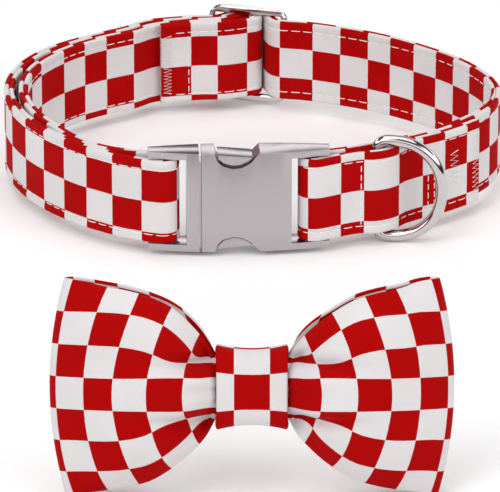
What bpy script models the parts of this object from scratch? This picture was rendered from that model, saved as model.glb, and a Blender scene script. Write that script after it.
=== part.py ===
"""Pet bow tie collar: one long checked strap woven through a slide, a buckle and a D-ring, and a bow tie.

Metres, +Z up, -Y towards the front, where the buckle is. The strap stands on edge as a closed loop.
The bow stands by itself in front of the collar. The root empty puts the middle of the underside at zero.
"""

import math

import bmesh
import bpy
import numpy as np
from mathutils import Vector

CLEARANCE = 0.0004

# Strap
STRAP_WIDTH = 0.025
STRAP_THICKNESS = 0.0028
LAYER_GAP = 0.00045
EDGE_ROLL = 0.0026          # from the strap's edge to its stitch line
STITCH_DIP = 0.0002         # how far each face sinks at the stitch line
EDGE_GROOVE = 0.0006        # how far the groove between the two plies sinks into the edge
EDGE_SHOULDER = 0.55        # share of the thickness that is left at the very edge
ROLL_RISE = 0.35            # share of the roll over which the strap comes to its full thickness
LONGEST_STEP = 0.0062
SHARPEST_STEP = 17.0        # degrees of turn between two sections of the strap

# Neck opening: the reach of its face from the middle, every 15 degrees counter-clockwise from +X
NECK_REACH = 0.068
NECK_MIDDLE = (0.002, 0.012)
NECK_SHAPE = (
    1.016, 0.966, 0.912, 0.867, 0.843, 0.849, 0.858, 0.861, 0.889, 0.922, 0.965, 0.990,
    0.994, 0.980, 0.965, 0.965, 0.925, 0.848, 0.815, 0.818, 0.833, 0.864, 0.929, 1.000,
)

# The strap's route in plan, from its end by the slide to its end by the ring. A row is a bearing in degrees
# and a layer: layer 0 lies against the neck, and layer 1 on top of it.
END_BY_SLIDE = ((118.5, 0.0), (112.0, 0.0), (107.0, 0.0))
TURNED_END = ((107.5, 1.0), (112.0, 1.0), (117.5, 1.0), (121.0, 0.80), (126.0, 0.12), (130.0, 0.0))
LEFT_INNER = (138, 236, 8)          # first, last and step of the bearings on layer 0
LEFT_OUTER = (
    (236.0, 1.45), (230.0, 1.10), (224.0, 1.02), (214.0, 1.05), (204.0, 1.15), (194.0, 1.25), (184.0, 1.30),
    (174.0, 1.30), (164.0, 1.20), (154.0, 1.08), (144.0, 1.02), (134.0, 1.02), (127.0, 1.15), (122.0, 1.78),
    (118.0, 2.02), (112.0, 2.02), (108.0, 2.05),
)
PAST_SLIDE = ((76.0, 0.0), (71.0, 0.0))
RIGHT_INNER = (63, -66, -8)         # first, last and step of the bearings on layer 0
OVER_RING = (                       # bearing, and the layer less the height of the ring's tunnel
    (-58.5, -0.1), (-55.5, 0.0), (-52.7, -0.15),
)
END_BY_RING = ((-48.0, 1.30), (-43.0, 1.02), (-35.0, 1.0), (-27.0, 1.0), (-22.5, 1.0))
BEFORE_RING = (-61.5, 1.55)
SLIDE_INNER_WRAP = (-58.0, 140.0)   # degrees round the slide's middle bar
SLIDE_OUTER_WRAP = (143.0, 37.0)
MALE_WRAP = (68.0, -112.0)          # degrees round the buckle's bars
FEMALE_WRAP = (113.0, 288.0)
END_BAR_SLOPES = (40.0, 38.0, 36.0)  # how each layer slopes under the slide's left bar, outermost first
RIGHT_BAR_SLOPE = 31.0

# Side-release buckle, in its own frame: x towards the body half, y towards the neck
BUCKLE_BEARING = 264.5
BUCKLE_OUT = 0.0034
BUCKLE_TURN = 2.7
BUCKLE_HEIGHT = 0.030
MALE_LENGTH = 0.0146
FEMALE_LENGTH = 0.0368
HALVES_GAP = 0.0007
FRONT_CROWN = 0.0031        # how far the front swells between the tips and the middle
FRONT_AT_TIP = 0.0021
BACK_CROWN = 0.0020
BACK_AT_TIP = 0.0023
CROWN_POINTS = 9
BUCKLE_BEVEL = 0.00035
ARM_HEIGHT = 0.0020
BAR_DIAMETER = 0.0030
BAR_TO_TIP = 0.0044
MALE_BASE = 0.0036
FEMALE_BODY = 0.0258        # from the mouth to the strap slot
MOUTH_WALL = 0.0026         # wall above and below the cavity
PLATE_WALL = 0.0016         # wall in front of and behind the cavity
CAVITY_LENGTH = 0.0190
WINDOW_START = 0.0038       # from the mouth to the thumb window
WINDOW_LENGTH = 0.0129
WINDOW_DEPTH = 0.0046
WINDOW_SHAPE = (            # share of the length, share of the depth
    (0.00, 0.00), (0.05, 0.48), (0.16, 0.80), (0.38, 1.00),
    (0.58, 0.95), (0.78, 0.66), (0.93, 0.22), (1.00, 0.00),
)
TAB_GAP = 0.0006
TAB_SLOPE = 0.0012          # how far the tab's outer edge falls towards its tip
TAB_INSET = 0.0006          # how far the tab sits behind the plate, front and back
PRONG_HEIGHT = 0.0030
PRONG_REACH = 0.62          # share of the window's length that the prong passes under

# Slide, in its own frame: u along the strap, w away from the neck
SLIDE_BEARING = 92.26
SLIDE_OUT = 0.00607
SLIDE_TURN = -14.6
SLIDE_LENGTH = 0.0248
SLIDE_DEPTH = 0.0020
SLIDE_RAIL = 0.0022
SLIDE_BAR = 0.0020
SLIDE_CORNER = 0.0040
SLIDE_WINDOW_CORNER = 0.0006
SLIDE_BEVEL = 0.00040

# D-ring
RING_BEARING = 304.5
RING_WIRE = 0.0034
RING_REACH = 0.0204         # from the bar's axis to the outside of the bow of the D
RING_LEG = 0.0042           # straight part of the legs before the bow starts
RING_CORNER = 0.0030
RING_SHAPE = 2.15           # roundness of the bow of the D, 2 for an ellipse
RING_REST = -8.0            # degrees from +X
RING_HEADROOM = 0.0004      # room between the strap's edges and the ring, above and below
RING_POINTS = 19            # points round the bow of the D
RING_CLOSEST = 0.2          # smallest step of the wire, as a share of its diameter

# Bow tie, in its own frame: x across, y backwards, z up, zero in the middle of the back ply
BOW_FROM_BUCKLE = (0.00377, -0.16942)
BOW_LEAN = 10.0             # degrees that the bow leans back on its lower edges
BOW_HALF_WIDTH = 0.0521
BOW_HEIGHT = 0.0575
BOW_PLY = 0.0012
BOW_DEPTH = 0.0130          # front ply to back ply where the wing is fullest
BOW_BACK_SWELL = 0.0030
BOW_PINCH = 0.0020          # front ply to back ply inside the knot
BOW_RIDGE = 0.0040          # how far the box pleat stands out at the knot
BOW_VALLEY = 0.0026
BOW_RIDGE_HALF = 0.0060
BOW_VALLEY_HALF = 0.0030
BOW_RIDGE_SQUARENESS = 8    # how flat the pleat's top is
BOW_VALLEY_MIDDLE = 0.6     # where the valley is deepest, in valley half widths past the ridge
BOW_VALLEY_STARTS = 0.175   # share of the half width where the valleys come out of the knot
BOW_VALLEY_GROWS = 0.06     # share of the half width over which they reach their depth
BOW_EDGE_CLOSING = 0.40     # how far the front ply comes back at its upper and lower edges
BOW_EDGE_POWER = 2.2
BOW_BACK_CLOSING = 0.5
BOW_ROWS = 17
BOW_FRONT_STATIONS = (0.0, 0.10, 0.175, 0.215, 0.27, 0.34, 0.42, 0.52, 0.64, 0.76, 0.87, 0.95)
BOW_BACK_STATIONS = (0.95, 0.85, 0.70, 0.55, 0.42, 0.32, 0.25, 0.21, 0.175, 0.10)
# share of the half width, front and back ply's upper edge, lower edge as shares of half the height,
# fullness of the front ply, fullness of the back ply and strength of the pleat
BOW_COLUMNS = ("out", "front_top", "back_top", "front_low", "back_low", "full", "back", "pleat")
BOW_LEFT_WING = (
    (0.000, 0.220, 0.220, 0.220, 0.220, 0.00, 0.00, 0.60),
    (0.100, 0.230, 0.235, 0.230, 0.235, 0.02, 0.00, 0.65),
    (0.175, 0.250, 0.258, 0.250, 0.258, 0.04, 0.00, 0.80),
    (0.215, 0.330, 0.440, 0.380, 0.440, 0.20, 0.05, 1.00),
    (0.290, 0.480, 0.620, 0.540, 0.600, 0.55, 0.25, 0.85),
    (0.390, 0.690, 0.760, 0.690, 0.735, 0.85, 0.60, 0.55),
    (0.500, 0.830, 0.845, 0.820, 0.840, 1.00, 0.90, 0.25),
    (0.630, 0.905, 0.910, 0.895, 0.905, 0.98, 1.00, 0.05),
    (0.760, 0.945, 0.950, 0.935, 0.940, 0.80, 0.95, 0.00),
    (0.880, 0.985, 0.985, 0.970, 0.970, 0.48, 0.80, 0.00),
    (0.960, 1.000, 1.000, 0.995, 0.995, 0.20, 0.60, 0.00),
)
BOW_RIGHT_WING = (
    (0.000, 0.220, 0.220, 0.220, 0.220, 0.00, 0.00, 0.60),
    (0.100, 0.230, 0.235, 0.230, 0.235, 0.02, 0.00, 0.65),
    (0.175, 0.250, 0.258, 0.250, 0.258, 0.04, 0.00, 0.80),
    (0.215, 0.335, 0.430, 0.370, 0.430, 0.20, 0.05, 1.00),
    (0.290, 0.470, 0.580, 0.520, 0.575, 0.55, 0.25, 0.85),
    (0.390, 0.640, 0.700, 0.670, 0.720, 0.85, 0.60, 0.55),
    (0.500, 0.790, 0.815, 0.800, 0.830, 1.00, 0.90, 0.25),
    (0.630, 0.880, 0.885, 0.885, 0.895, 0.98, 1.00, 0.05),
    (0.760, 0.925, 0.930, 0.930, 0.930, 0.80, 0.95, 0.00),
    (0.880, 0.985, 0.985, 0.965, 0.965, 0.48, 0.80, 0.00),
    (0.960, 1.000, 1.000, 0.995, 0.995, 0.20, 0.60, 0.00),
)
WING_CORNER_PULL = 0.06     # how far the outer corners sit in from the middle of the outer fold
KNOT_WIDTH = 0.0185
KNOT_HEIGHT_EDGE = 0.0224
KNOT_HEIGHT_MIDDLE = 0.0198
KNOT_DEPTH = 0.0142
KNOT_CLOTH = 0.0018
KNOT_SQUARENESS = 2.8
KNOT_RIDGE_SHARE = 0.4      # share of the pleat's height that is left inside the knot
KNOT_POINTS = (28, 7)       # points around and across
LOOP_WIDTH = 0.010
LOOP_HEIGHT = 0.0146
LOOP_DEPTH = 0.0080
LOOP_THICKNESS = 0.0010
LOOP_SQUARENESS = 3.2
LOOP_POINTS = (28, 2)

SHARP_EDGE = 40             # degrees past which an edge is bevelled
METAL_SHADING = 30          # degrees past which an edge of metal stays sharp
CLOTH_SHADING = 60


# Scene helpers


def clear_scene():
    """Remove every object of the open file."""
    for item in list(bpy.data.objects):
        bpy.data.objects.remove(item, do_unlink=True)


def new_collection(name):
    """A collection linked to the scene."""
    collection = bpy.data.collections.new(name)
    bpy.context.scene.collection.children.link(collection)
    return collection


def material(name, colour, roughness, metallic=0.0):
    """A plain Principled BSDF of one colour."""
    made = bpy.data.materials.new(name)
    made.use_nodes = True
    shader = made.node_tree.nodes["Principled BSDF"]
    shader.inputs["Base Color"].default_value = (*colour, 1.0)
    shader.inputs["Roughness"].default_value = roughness
    shader.inputs["Metallic"].default_value = metallic
    return made


def place(item, collection, parent):
    """Link an object and hang it under its parent empty."""
    collection.objects.link(item)
    item.parent = parent
    return item


def empty(name, collection, parent=None, location=(0.0, 0.0, 0.0), turn=0.0, lean=0.0):
    """An empty that carries one group of parts, turned about Z and leaning back."""
    item = bpy.data.objects.new(name, None)
    item.location = location
    item.rotation_euler = (math.radians(-lean), 0.0, math.radians(turn))
    return place(item, collection, parent)


def poly_curve(name, outlines, closed=True):
    """A curve of straight-sided splines through lists of points."""
    data = bpy.data.curves.new(name, "CURVE")
    data.dimensions = "3D"
    for outline in outlines:
        spline = data.splines.new("POLY")
        spline.points.add(len(outline) - 1)
        for knot, point in zip(spline.points, outline):
            knot.co = (*point, 0.0, 1.0) if len(point) == 2 else (*point, 1.0)
        spline.use_cyclic_u = closed
    return data


def flat_solid(name, outlines, depth, bevel=0.0):
    """A flat outline, with holes, as a solid of the given depth about its own plane."""
    data = poly_curve(name, outlines)
    data.dimensions = "2D"
    data.fill_mode = "BOTH"
    data.extrude = depth / 2 - bevel
    data.bevel_depth = bevel
    data.bevel_resolution = 0
    data.offset = -bevel
    return bpy.data.objects.new(name, data)


def as_mesh(item, collection, parent):
    """The same shape as a welded mesh object, in place of the curve."""
    collection.objects.link(item)
    graph = bpy.context.evaluated_depsgraph_get()
    mesh = bpy.data.meshes.new_from_object(item.evaluated_get(graph))
    name, matrix = item.name, item.matrix_world.copy()
    bpy.data.objects.remove(item, do_unlink=True)
    work = bmesh.new()
    work.from_mesh(mesh)
    bmesh.ops.remove_doubles(work, verts=work.verts, dist=0.00001)
    bmesh.ops.transform(work, matrix=matrix, verts=work.verts)
    work.to_mesh(mesh)
    work.free()
    made = bpy.data.objects.new(name, mesh)
    return place(made, collection, parent)


def box(name, low, high, collection, parent):
    """A box between two corners."""
    work = bmesh.new()
    bmesh.ops.create_cube(work, size=1.0)
    size = Vector(high) - Vector(low)
    bmesh.ops.scale(work, vec=size, verts=work.verts)
    bmesh.ops.translate(work, vec=(Vector(low) + Vector(high)) / 2, verts=work.verts)
    mesh = bpy.data.meshes.new(name)
    work.to_mesh(mesh)
    work.free()
    return place(bpy.data.objects.new(name, mesh), collection, parent)


def upright_bar(name, centre, diameter, height, collection, parent, sides=16):
    """A round bar along Z through a point of the plan."""
    work = bmesh.new()
    bmesh.ops.create_cone(
        work, cap_ends=True, segments=sides, radius1=diameter / 2, radius2=diameter / 2, depth=height
    )
    bmesh.ops.translate(work, vec=(*centre, 0.0), verts=work.verts)
    mesh = bpy.data.meshes.new(name)
    work.to_mesh(mesh)
    work.free()
    return place(bpy.data.objects.new(name, mesh), collection, parent)


def combine(item, tool, operation):
    """Join a tool to an object, or cut it away, and keep the tool as a wire guide."""
    change = item.modifiers.new(f"{operation.lower()}_{tool.name}", "BOOLEAN")
    change.operation = operation
    change.solver = "EXACT"
    change.object = tool
    tool.hide_render = True
    tool.display_type = "WIRE"


def soften_edges(item, width):
    """A narrow bevel on the sharp edges, made before the cuts."""
    bevel = item.modifiers.new("soft_edges", "BEVEL")
    bevel.width = width
    bevel.segments = 1
    bevel.limit_method = "ANGLE"
    bevel.angle_limit = math.radians(SHARP_EDGE)


def shade(item, finish, angle=40):
    """Give an object its finish and smooth shading up to an angle."""
    item.data.materials.clear()
    item.data.materials.append(finish)
    if item.type == "MESH":
        item.data.shade_smooth()
        item.data.set_sharp_from_angle(angle=math.radians(angle))
    return item


# Curves in plan


def circular_spline(values, position):
    """Smooth value at a position around a ring of evenly spaced values."""
    count = len(values)
    slot = math.floor(position)
    share = position - slot
    before, start, end, after = (values[(slot + step) % count] for step in (-1, 0, 1, 2))
    return start + 0.5 * share * (
        end - before + share * (2 * before - 5 * start + 4 * end - after
                                + share * (3 * (start - end) + after - before))
    )


def neck_face(bearing):
    """The point of the neck opening's face at a bearing in degrees."""
    reach = NECK_REACH * circular_spline(NECK_SHAPE, bearing / 15.0)
    angle = math.radians(bearing)
    return np.array(NECK_MIDDLE) + reach * np.array((math.cos(angle), math.sin(angle)))


def neck_point(bearing, outward):
    """The point a distance outside the neck opening's face."""
    along = neck_face(bearing + 0.5) - neck_face(bearing - 0.5)
    along /= np.linalg.norm(along)
    return neck_face(bearing) + outward * np.array((along[1], -along[0]))


def framed(place_at, turn, point):
    """A point of a turned frame, in plan."""
    angle = math.radians(turn)
    x, y = point
    return np.array((
        place_at[0] + x * math.cos(angle) - y * math.sin(angle),
        place_at[1] + x * math.sin(angle) + y * math.cos(angle),
    ))


def arc(centre, radius, start, end, step=22.0):
    """Points along an arc, angles in degrees."""
    count = max(2, math.ceil(abs(end - start) / step) + 1)
    angles = np.radians(np.linspace(start, end, count))
    return [np.array(centre) + radius * np.array((math.cos(a), math.sin(a))) for a in angles]


def smooth_path(points, spacing=0.0007):
    """A dense smooth curve through the points, easing by the root of their distance."""
    points = [np.array(p) for p in points]
    ends = [2 * points[0] - points[1], *points, 2 * points[-1] - points[-2]]
    path = []
    for first, start, end, last in zip(ends, ends[1:], ends[2:], ends[3:]):
        knots = [0.0]
        for here, there in ((first, start), (start, end), (end, last)):
            knots.append(knots[-1] + math.sqrt(np.linalg.norm(there - here)))
        count = max(2, int(np.linalg.norm(end - start) / spacing))
        for t in np.linspace(knots[1], knots[2], count, endpoint=False):
            a1 = (first * (knots[1] - t) + start * t) / knots[1]
            a2 = (start * (knots[2] - t) + end * (t - knots[1])) / (knots[2] - knots[1])
            a3 = (end * (knots[3] - t) + last * (t - knots[2])) / (knots[3] - knots[2])
            b1 = (a1 * (knots[2] - t) + a2 * t) / knots[2]
            b2 = (a2 * (knots[3] - t) + a3 * (t - knots[1])) / (knots[3] - knots[1])
            path.append((b1 * (knots[2] - t) + b2 * (t - knots[1])) / (knots[2] - knots[1]))
    path.append(points[-1])
    return path


def thin_out(path, longest, sharpest):
    """Keep the points that a path needs for its turns and its longest step."""
    kept = [path[0]]
    turned, gone = 0.0, 0.0
    for before, here, after in zip(path, path[1:], path[2:]):
        one, two = here - before, after - here
        cross = one[0] * two[1] - one[1] * two[0]
        turned += abs(math.degrees(math.atan2(cross, float(one @ two))))
        gone += float(np.linalg.norm(one))
        if turned >= sharpest or gone >= longest:
            kept.append(here)
            turned, gone = 0.0, 0.0
    if np.linalg.norm(kept[-1] - path[-1]) < longest / 4:
        kept.pop()
    kept.append(path[-1])
    return kept


# Strap


def layer_out(layer):
    """How far the middle of a strap layer lies outside the neck opening's face."""
    return STRAP_THICKNESS / 2 + layer * (STRAP_THICKNESS + LAYER_GAP)


def neck_run(rows):
    """Route points from rows of bearing and layer."""
    return [neck_point(bearing, layer_out(layer)) for bearing, layer in rows]


def slide_place():
    """Where the slide's middle bar lies in plan."""
    return neck_point(SLIDE_BEARING, SLIDE_OUT)


def buckle_place():
    """Where the middle of the buckle lies in plan."""
    return neck_point(BUCKLE_BEARING, BUCKLE_OUT)


def buckle_bars():
    """The two strap bars' axes, male and female, in the buckle's frame."""
    half = (MALE_LENGTH + HALVES_GAP + FEMALE_LENGTH) / 2
    middle = (BACK_AT_TIP - FRONT_AT_TIP) / 2
    return (-half + BAR_TO_TIP, middle), (half - BAR_TO_TIP, middle)


def ring_place():
    """The D-ring's bar axis in plan, between the two layers of its tunnel."""
    return neck_point(RING_BEARING, STRAP_THICKNESS + CLEARANCE + RING_WIRE / 2)


def strap_route():
    """The middle line of the whole strap in plan, from its end by the slide to its end by the D-ring."""
    pitch = STRAP_THICKNESS + LAYER_GAP
    wrap = SLIDE_BAR / 2 + CLEARANCE + STRAP_THICKNESS / 2
    over = wrap + pitch
    bar_wrap = BAR_DIAMETER / 2 + CLEARANCE + STRAP_THICKNESS / 2
    past_end_bar = STRAP_THICKNESS / 2 + CLEARANCE
    corner_u = SLIDE_LENGTH / 2 - SLIDE_BAR
    corner_w = -SLIDE_DEPTH / 2

    slide_at = slide_place()

    def slide_arc(radius, angles):
        return [framed(slide_at, SLIDE_TURN, p) for p in arc((0.0, 0.0), radius, *angles)]

    def below_left_bar(layer):
        reach = past_end_bar + layer * pitch
        angle = math.radians(END_BAR_SLOPES[layer])
        point = (-corner_u + reach * math.sin(angle), corner_w - reach * math.cos(angle))
        return framed(slide_at, SLIDE_TURN, point)

    def below_right_bar():
        angle = math.radians(RIGHT_BAR_SLOPE)
        point = (corner_u - past_end_bar * math.sin(angle), corner_w - past_end_bar * math.cos(angle))
        return framed(slide_at, SLIDE_TURN, point)

    def buckle_arc(bar, angles):
        centre = framed(buckle_place(), BUCKLE_TURN, bar)
        return arc(centre, bar_wrap, *angles)

    male_bar, female_bar = buckle_bars()
    tunnel = (2 * CLEARANCE + RING_WIRE - LAYER_GAP) / pitch + 1.0

    route = neck_run(END_BY_SLIDE)
    route += [below_left_bar(2)]
    route += slide_arc(wrap, SLIDE_INNER_WRAP)
    route += [below_left_bar(1)]
    route += neck_run(TURNED_END)
    route += neck_run([(bearing, 0.0) for bearing in range(*LEFT_INNER)])
    route += buckle_arc(male_bar, MALE_WRAP)
    route += neck_run(LEFT_OUTER)
    route += [below_left_bar(0)]
    route += slide_arc(over, SLIDE_OUTER_WRAP)
    route += [below_right_bar()]
    route += neck_run(PAST_SLIDE)
    route += neck_run([(bearing, 0.0) for bearing in range(*RIGHT_INNER)])
    route += buckle_arc(female_bar, FEMALE_WRAP)
    route += neck_run([BEFORE_RING])
    route += neck_run([(bearing, tunnel + step) for bearing, step in OVER_RING])
    route += neck_run(END_BY_RING)
    return route


def strap_section():
    """Half the strap's section and its mirror: two rolled plies with a groove between them."""
    half_width = STRAP_WIDTH / 2
    half_depth = STRAP_THICKNESS / 2
    quarter = (
        (half_depth * EDGE_SHOULDER, half_width),
        (half_depth, half_width - EDGE_ROLL * ROLL_RISE),
        (half_depth - STITCH_DIP, half_width - EDGE_ROLL),
    )
    groove = half_width - EDGE_GROOVE
    right = [(0.0, groove), *quarter, *((x, -y) for x, y in reversed(quarter)), (0.0, -groove)]
    left = [(-x, y) for x, y in reversed(right[1:-1])]
    return right + left


def make_strap(collection, guides, parent, finish):
    """The strap as its section swept along its route."""
    section = poly_curve("strap_section", [strap_section()])
    section.dimensions = "2D"
    guide = place(bpy.data.objects.new("strap_section", section), guides, None)
    guide.hide_render = True
    guide.display_type = "WIRE"
    path = thin_out(smooth_path(strap_route()), LONGEST_STEP, SHARPEST_STEP)
    data = poly_curve("strap", [[(*point, 0.0) for point in path]], closed=False)
    data.twist_mode = "Z_UP"
    data.bevel_mode = "OBJECT"
    data.bevel_object = guide
    data.use_fill_caps = True
    item = place(bpy.data.objects.new("strap", data), collection, parent)
    return shade(item, finish)


# Buckle


def buckle_plan(start, end):
    """The plan outline of a stretch of the buckle, thickest in the middle of the whole."""
    half = (MALE_LENGTH + HALVES_GAP + FEMALE_LENGTH) / 2
    stations = np.linspace(start, end, CROWN_POINTS)
    front = [(x, -FRONT_AT_TIP - FRONT_CROWN * (1 - (x / half) ** 2)) for x in stations]
    back = [(x, BACK_AT_TIP + BACK_CROWN * (1 - (x / half) ** 2)) for x in reversed(stations)]
    return front + back


def window_edge(start, inset):
    """The thumb window's lower edge in x and z above the middle, or a tab's that fits in it."""
    length = WINDOW_LENGTH - 2 * inset
    depth = WINDOW_DEPTH - inset
    edge = BUCKLE_HEIGHT / 2
    return [(start + inset + share * length, edge - down * depth) for share, down in WINDOW_SHAPE]


def window_outline(start, above):
    """The thumb window's outline, open upwards."""
    points = window_edge(start, 0.0)
    top = BUCKLE_HEIGHT / 2 + above
    return points + [(points[-1][0], top), (points[0][0], top)]


def tab_outline(start):
    """The release tab in its window, under an edge that falls towards the tip."""
    points = window_edge(start, TAB_GAP)
    top = BUCKLE_HEIGHT / 2 - TAB_INSET

    def room(point):
        share = (point[0] - start) / WINDOW_LENGTH
        return top - TAB_SLOPE * share - point[1]

    outline = []
    for here, there in zip(points, points[1:]):
        if room(here) >= 0:
            outline.append(here)
        if (room(here) >= 0) != (room(there) >= 0):
            share = room(here) / (room(here) - room(there))
            outline.append(tuple(h + (t - h) * share for h, t in zip(here, there)))
    return outline


def standing_plate(name, outline, low_y, high_y, collection, parent):
    """A flat outline in x and z, as a solid between two depths."""
    item = flat_solid(name, [outline], high_y - low_y)
    item.rotation_euler = (math.radians(90), 0.0, 0.0)
    item.location = (0.0, (low_y + high_y) / 2, 0.0)
    return as_mesh(item, collection, parent)


def mirrored(outline):
    """The same outline below the middle."""
    return [(x, -z) for x, z in reversed(outline)]


def make_buckle(collection, guides, frame, finish):
    """Both halves of the buckle, fastened."""
    half = (MALE_LENGTH + HALVES_GAP + FEMALE_LENGTH) / 2
    male_end = -half + MALE_LENGTH
    mouth = male_end + HALVES_GAP
    slot_half = BUCKLE_HEIGHT / 2 - ARM_HEIGHT
    male_bar, female_bar = buckle_bars()
    reach_y = FRONT_AT_TIP + FRONT_CROWN + BACK_AT_TIP + BACK_CROWN

    female = flat_solid("buckle_female", [buckle_plan(mouth, half)], BUCKLE_HEIGHT)
    female = as_mesh(female, collection, frame)
    soften_edges(female, BUCKLE_BEVEL)
    body_end = mouth + FEMALE_BODY
    slot_end = (half + reach_y, reach_y, slot_half)
    cuts = [box("female_slot", (body_end, -reach_y, -slot_half), slot_end, guides, frame)]
    cavity_front = -FRONT_AT_TIP - FRONT_CROWN * (1 - (mouth / half) ** 2) + PLATE_WALL
    cavity_back = BACK_AT_TIP + BACK_CROWN * (1 - (mouth / half) ** 2) - PLATE_WALL
    cavity_half = BUCKLE_HEIGHT / 2 - MOUTH_WALL
    cuts.append(box(
        "cavity", (mouth - reach_y, cavity_front, -cavity_half),
        (mouth + CAVITY_LENGTH, cavity_back, cavity_half), guides, frame,
    ))
    window = window_outline(mouth + WINDOW_START, reach_y)
    for side, outline in (("upper", window), ("lower", mirrored(window))):
        cuts.append(standing_plate(f"window_{side}", outline, -reach_y, reach_y, guides, frame))
    for cut in cuts:
        combine(female, cut, "DIFFERENCE")
    bar_height = BUCKLE_HEIGHT - ARM_HEIGHT
    combine(female, upright_bar("female_bar", female_bar, BAR_DIAMETER, bar_height, guides, frame), "UNION")

    male = flat_solid("buckle_male", [buckle_plan(-half, male_end)], BUCKLE_HEIGHT)
    male = as_mesh(male, collection, frame)
    soften_edges(male, BUCKLE_BEVEL)
    base_start = male_end - MALE_BASE
    slot_start = (-half - reach_y, -reach_y, -slot_half)
    slot = box("male_slot", slot_start, (base_start, reach_y, slot_half), guides, frame)
    combine(male, slot, "DIFFERENCE")
    combine(male, upright_bar("male_bar", male_bar, BAR_DIAMETER, bar_height, guides, frame), "UNION")
    tab_bottom = BUCKLE_HEIGHT / 2 - WINDOW_DEPTH + TAB_GAP
    prong_top = tab_bottom + TAB_GAP
    prong_end = mouth + WINDOW_START + WINDOW_LENGTH * PRONG_REACH
    tab = tab_outline(mouth + WINDOW_START)
    tab_front = cavity_front - PLATE_WALL + TAB_INSET
    tab_back = cavity_back + PLATE_WALL - TAB_INSET
    for side, sign in (("upper", 1), ("lower", -1)):
        low_z, high_z = sorted((sign * (prong_top - PRONG_HEIGHT), sign * prong_top))
        prong = box(
            f"prong_{side}", (base_start + MALE_BASE / 2, cavity_front + 2 * CLEARANCE, low_z),
            (prong_end, cavity_back - 2 * CLEARANCE, high_z), guides, frame,
        )
        combine(male, prong, "UNION")
        outline = tab if sign > 0 else mirrored(tab)
        combine(male, standing_plate(f"tab_{side}", outline, tab_front, tab_back, guides, frame), "UNION")
    return shade(male, finish, METAL_SHADING), shade(female, finish, METAL_SHADING)


# Slide


def rounded_rectangle(low, high, radius, steps=4):
    """The outline of a rectangle with round corners, counter-clockwise."""
    corners = ((high[0], high[1], 0), (low[0], high[1], 90), (low[0], low[1], 180), (high[0], low[1], 270))
    outline = []
    for x, y, start in corners:
        centre = (x - math.copysign(radius, x - (low[0] + high[0]) / 2),
                  y - math.copysign(radius, y - (low[1] + high[1]) / 2))
        outline += [tuple(p) for p in arc(centre, radius, start, start + 90, 90 / steps)]
    return outline


def make_slide(collection, parent, finish):
    """The three-bar slide behind the strap."""
    window_half = STRAP_WIDTH / 2 + RING_HEADROOM
    half_height = window_half + SLIDE_RAIL
    half_length = SLIDE_LENGTH / 2
    outer = rounded_rectangle((-half_length, -half_height), (half_length, half_height), SLIDE_CORNER)
    inner_start = SLIDE_BAR / 2
    inner_end = half_length - SLIDE_BAR
    holes = []
    for low, high in ((inner_start, inner_end), (-inner_end, -inner_start)):
        hole = rounded_rectangle((low, -window_half), (high, window_half), SLIDE_WINDOW_CORNER, 2)
        holes.append(list(reversed(hole)))
    item = flat_solid("slide", [outer, *holes], SLIDE_DEPTH, SLIDE_BEVEL)
    item.rotation_euler = (math.radians(90), 0.0, math.radians(SLIDE_TURN))
    item.location = (*slide_place(), 0.0)
    return shade(as_mesh(item, collection, parent), finish, METAL_SHADING)


# D-ring


def ring_line():
    """The wire's middle line in u and z, with the bar on the axis."""
    half_height = STRAP_WIDTH / 2 + RING_HEADROOM + RING_WIRE / 2
    bow_reach = RING_REACH - RING_WIRE / 2 - RING_LEG
    points = arc((RING_CORNER, -half_height + RING_CORNER), RING_CORNER, 180, 270, 30)
    for angle in np.radians(np.linspace(-90, 90, RING_POINTS)):
        u = RING_LEG + bow_reach * abs(math.cos(angle)) ** (2 / RING_SHAPE)
        z = half_height * math.copysign(abs(math.sin(angle)) ** (2 / RING_SHAPE), angle)
        points.append(np.array((u, z)))
    points += arc((RING_CORNER, half_height - RING_CORNER), RING_CORNER, 90, 180, 30)
    kept = [points[0]]
    for point in points[1:]:
        if np.linalg.norm(point - kept[-1]) > RING_WIRE * RING_CLOSEST:
            kept.append(point)
    return kept


def make_ring(collection, swing, finish):
    """The wire D, drawn on the swing empty, whose Z is the bar's axis."""
    data = poly_curve("d_ring", [[(u, 0.0, z) for u, z in ring_line()]])
    data.bevel_depth = RING_WIRE / 2
    data.bevel_resolution = 3
    item = place(bpy.data.objects.new("d_ring", data), collection, swing)
    return shade(item, finish)


# Bow tie


def wing_value(rows, column, out):
    """A wing table's value at a share of the half width."""
    index = BOW_COLUMNS.index(column)
    return float(np.interp(out, [row[0] for row in rows], [row[index] for row in rows]))


def wing_point(side, rows, out, front, row):
    """One point of a wing's cloth. row runs from -1 at the lower edge to 1 at the upper edge."""
    edge = ("front" if front else "back") + ("_top" if row > 0 else "_low")
    height = BOW_HEIGHT / 2 * wing_value(rows, edge, out)
    z = height * row
    across = out * (1 - WING_CORNER_PULL * row * row * out * out)
    x = side * BOW_HALF_WIDTH * across
    if front:
        full = wing_value(rows, "full", out)
        closing = 1 - BOW_EDGE_CLOSING * abs(row) ** BOW_EDGE_POWER
        depth = BOW_PINCH + (BOW_DEPTH - BOW_PINCH) * full * closing
        strength = wing_value(rows, "pleat", out)
        ridge = 1 / (1 + (abs(z) / BOW_RIDGE_HALF) ** BOW_RIDGE_SQUARENESS)
        past = (abs(z) - BOW_RIDGE_HALF - BOW_VALLEY_HALF * BOW_VALLEY_MIDDLE) / BOW_VALLEY_HALF
        grown = min(1.0, max(0.0, (out - BOW_VALLEY_STARTS) / BOW_VALLEY_GROWS))
        valley = math.exp(-past * past) * grown
        y = -depth - strength * (BOW_RIDGE * ridge - BOW_VALLEY * valley)
        y = min(y, -BOW_PINCH)
    else:
        y = BOW_BACK_SWELL * wing_value(rows, "back", out) * (1 - BOW_BACK_CLOSING * row * row)
    return Vector((x, y, z))


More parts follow.
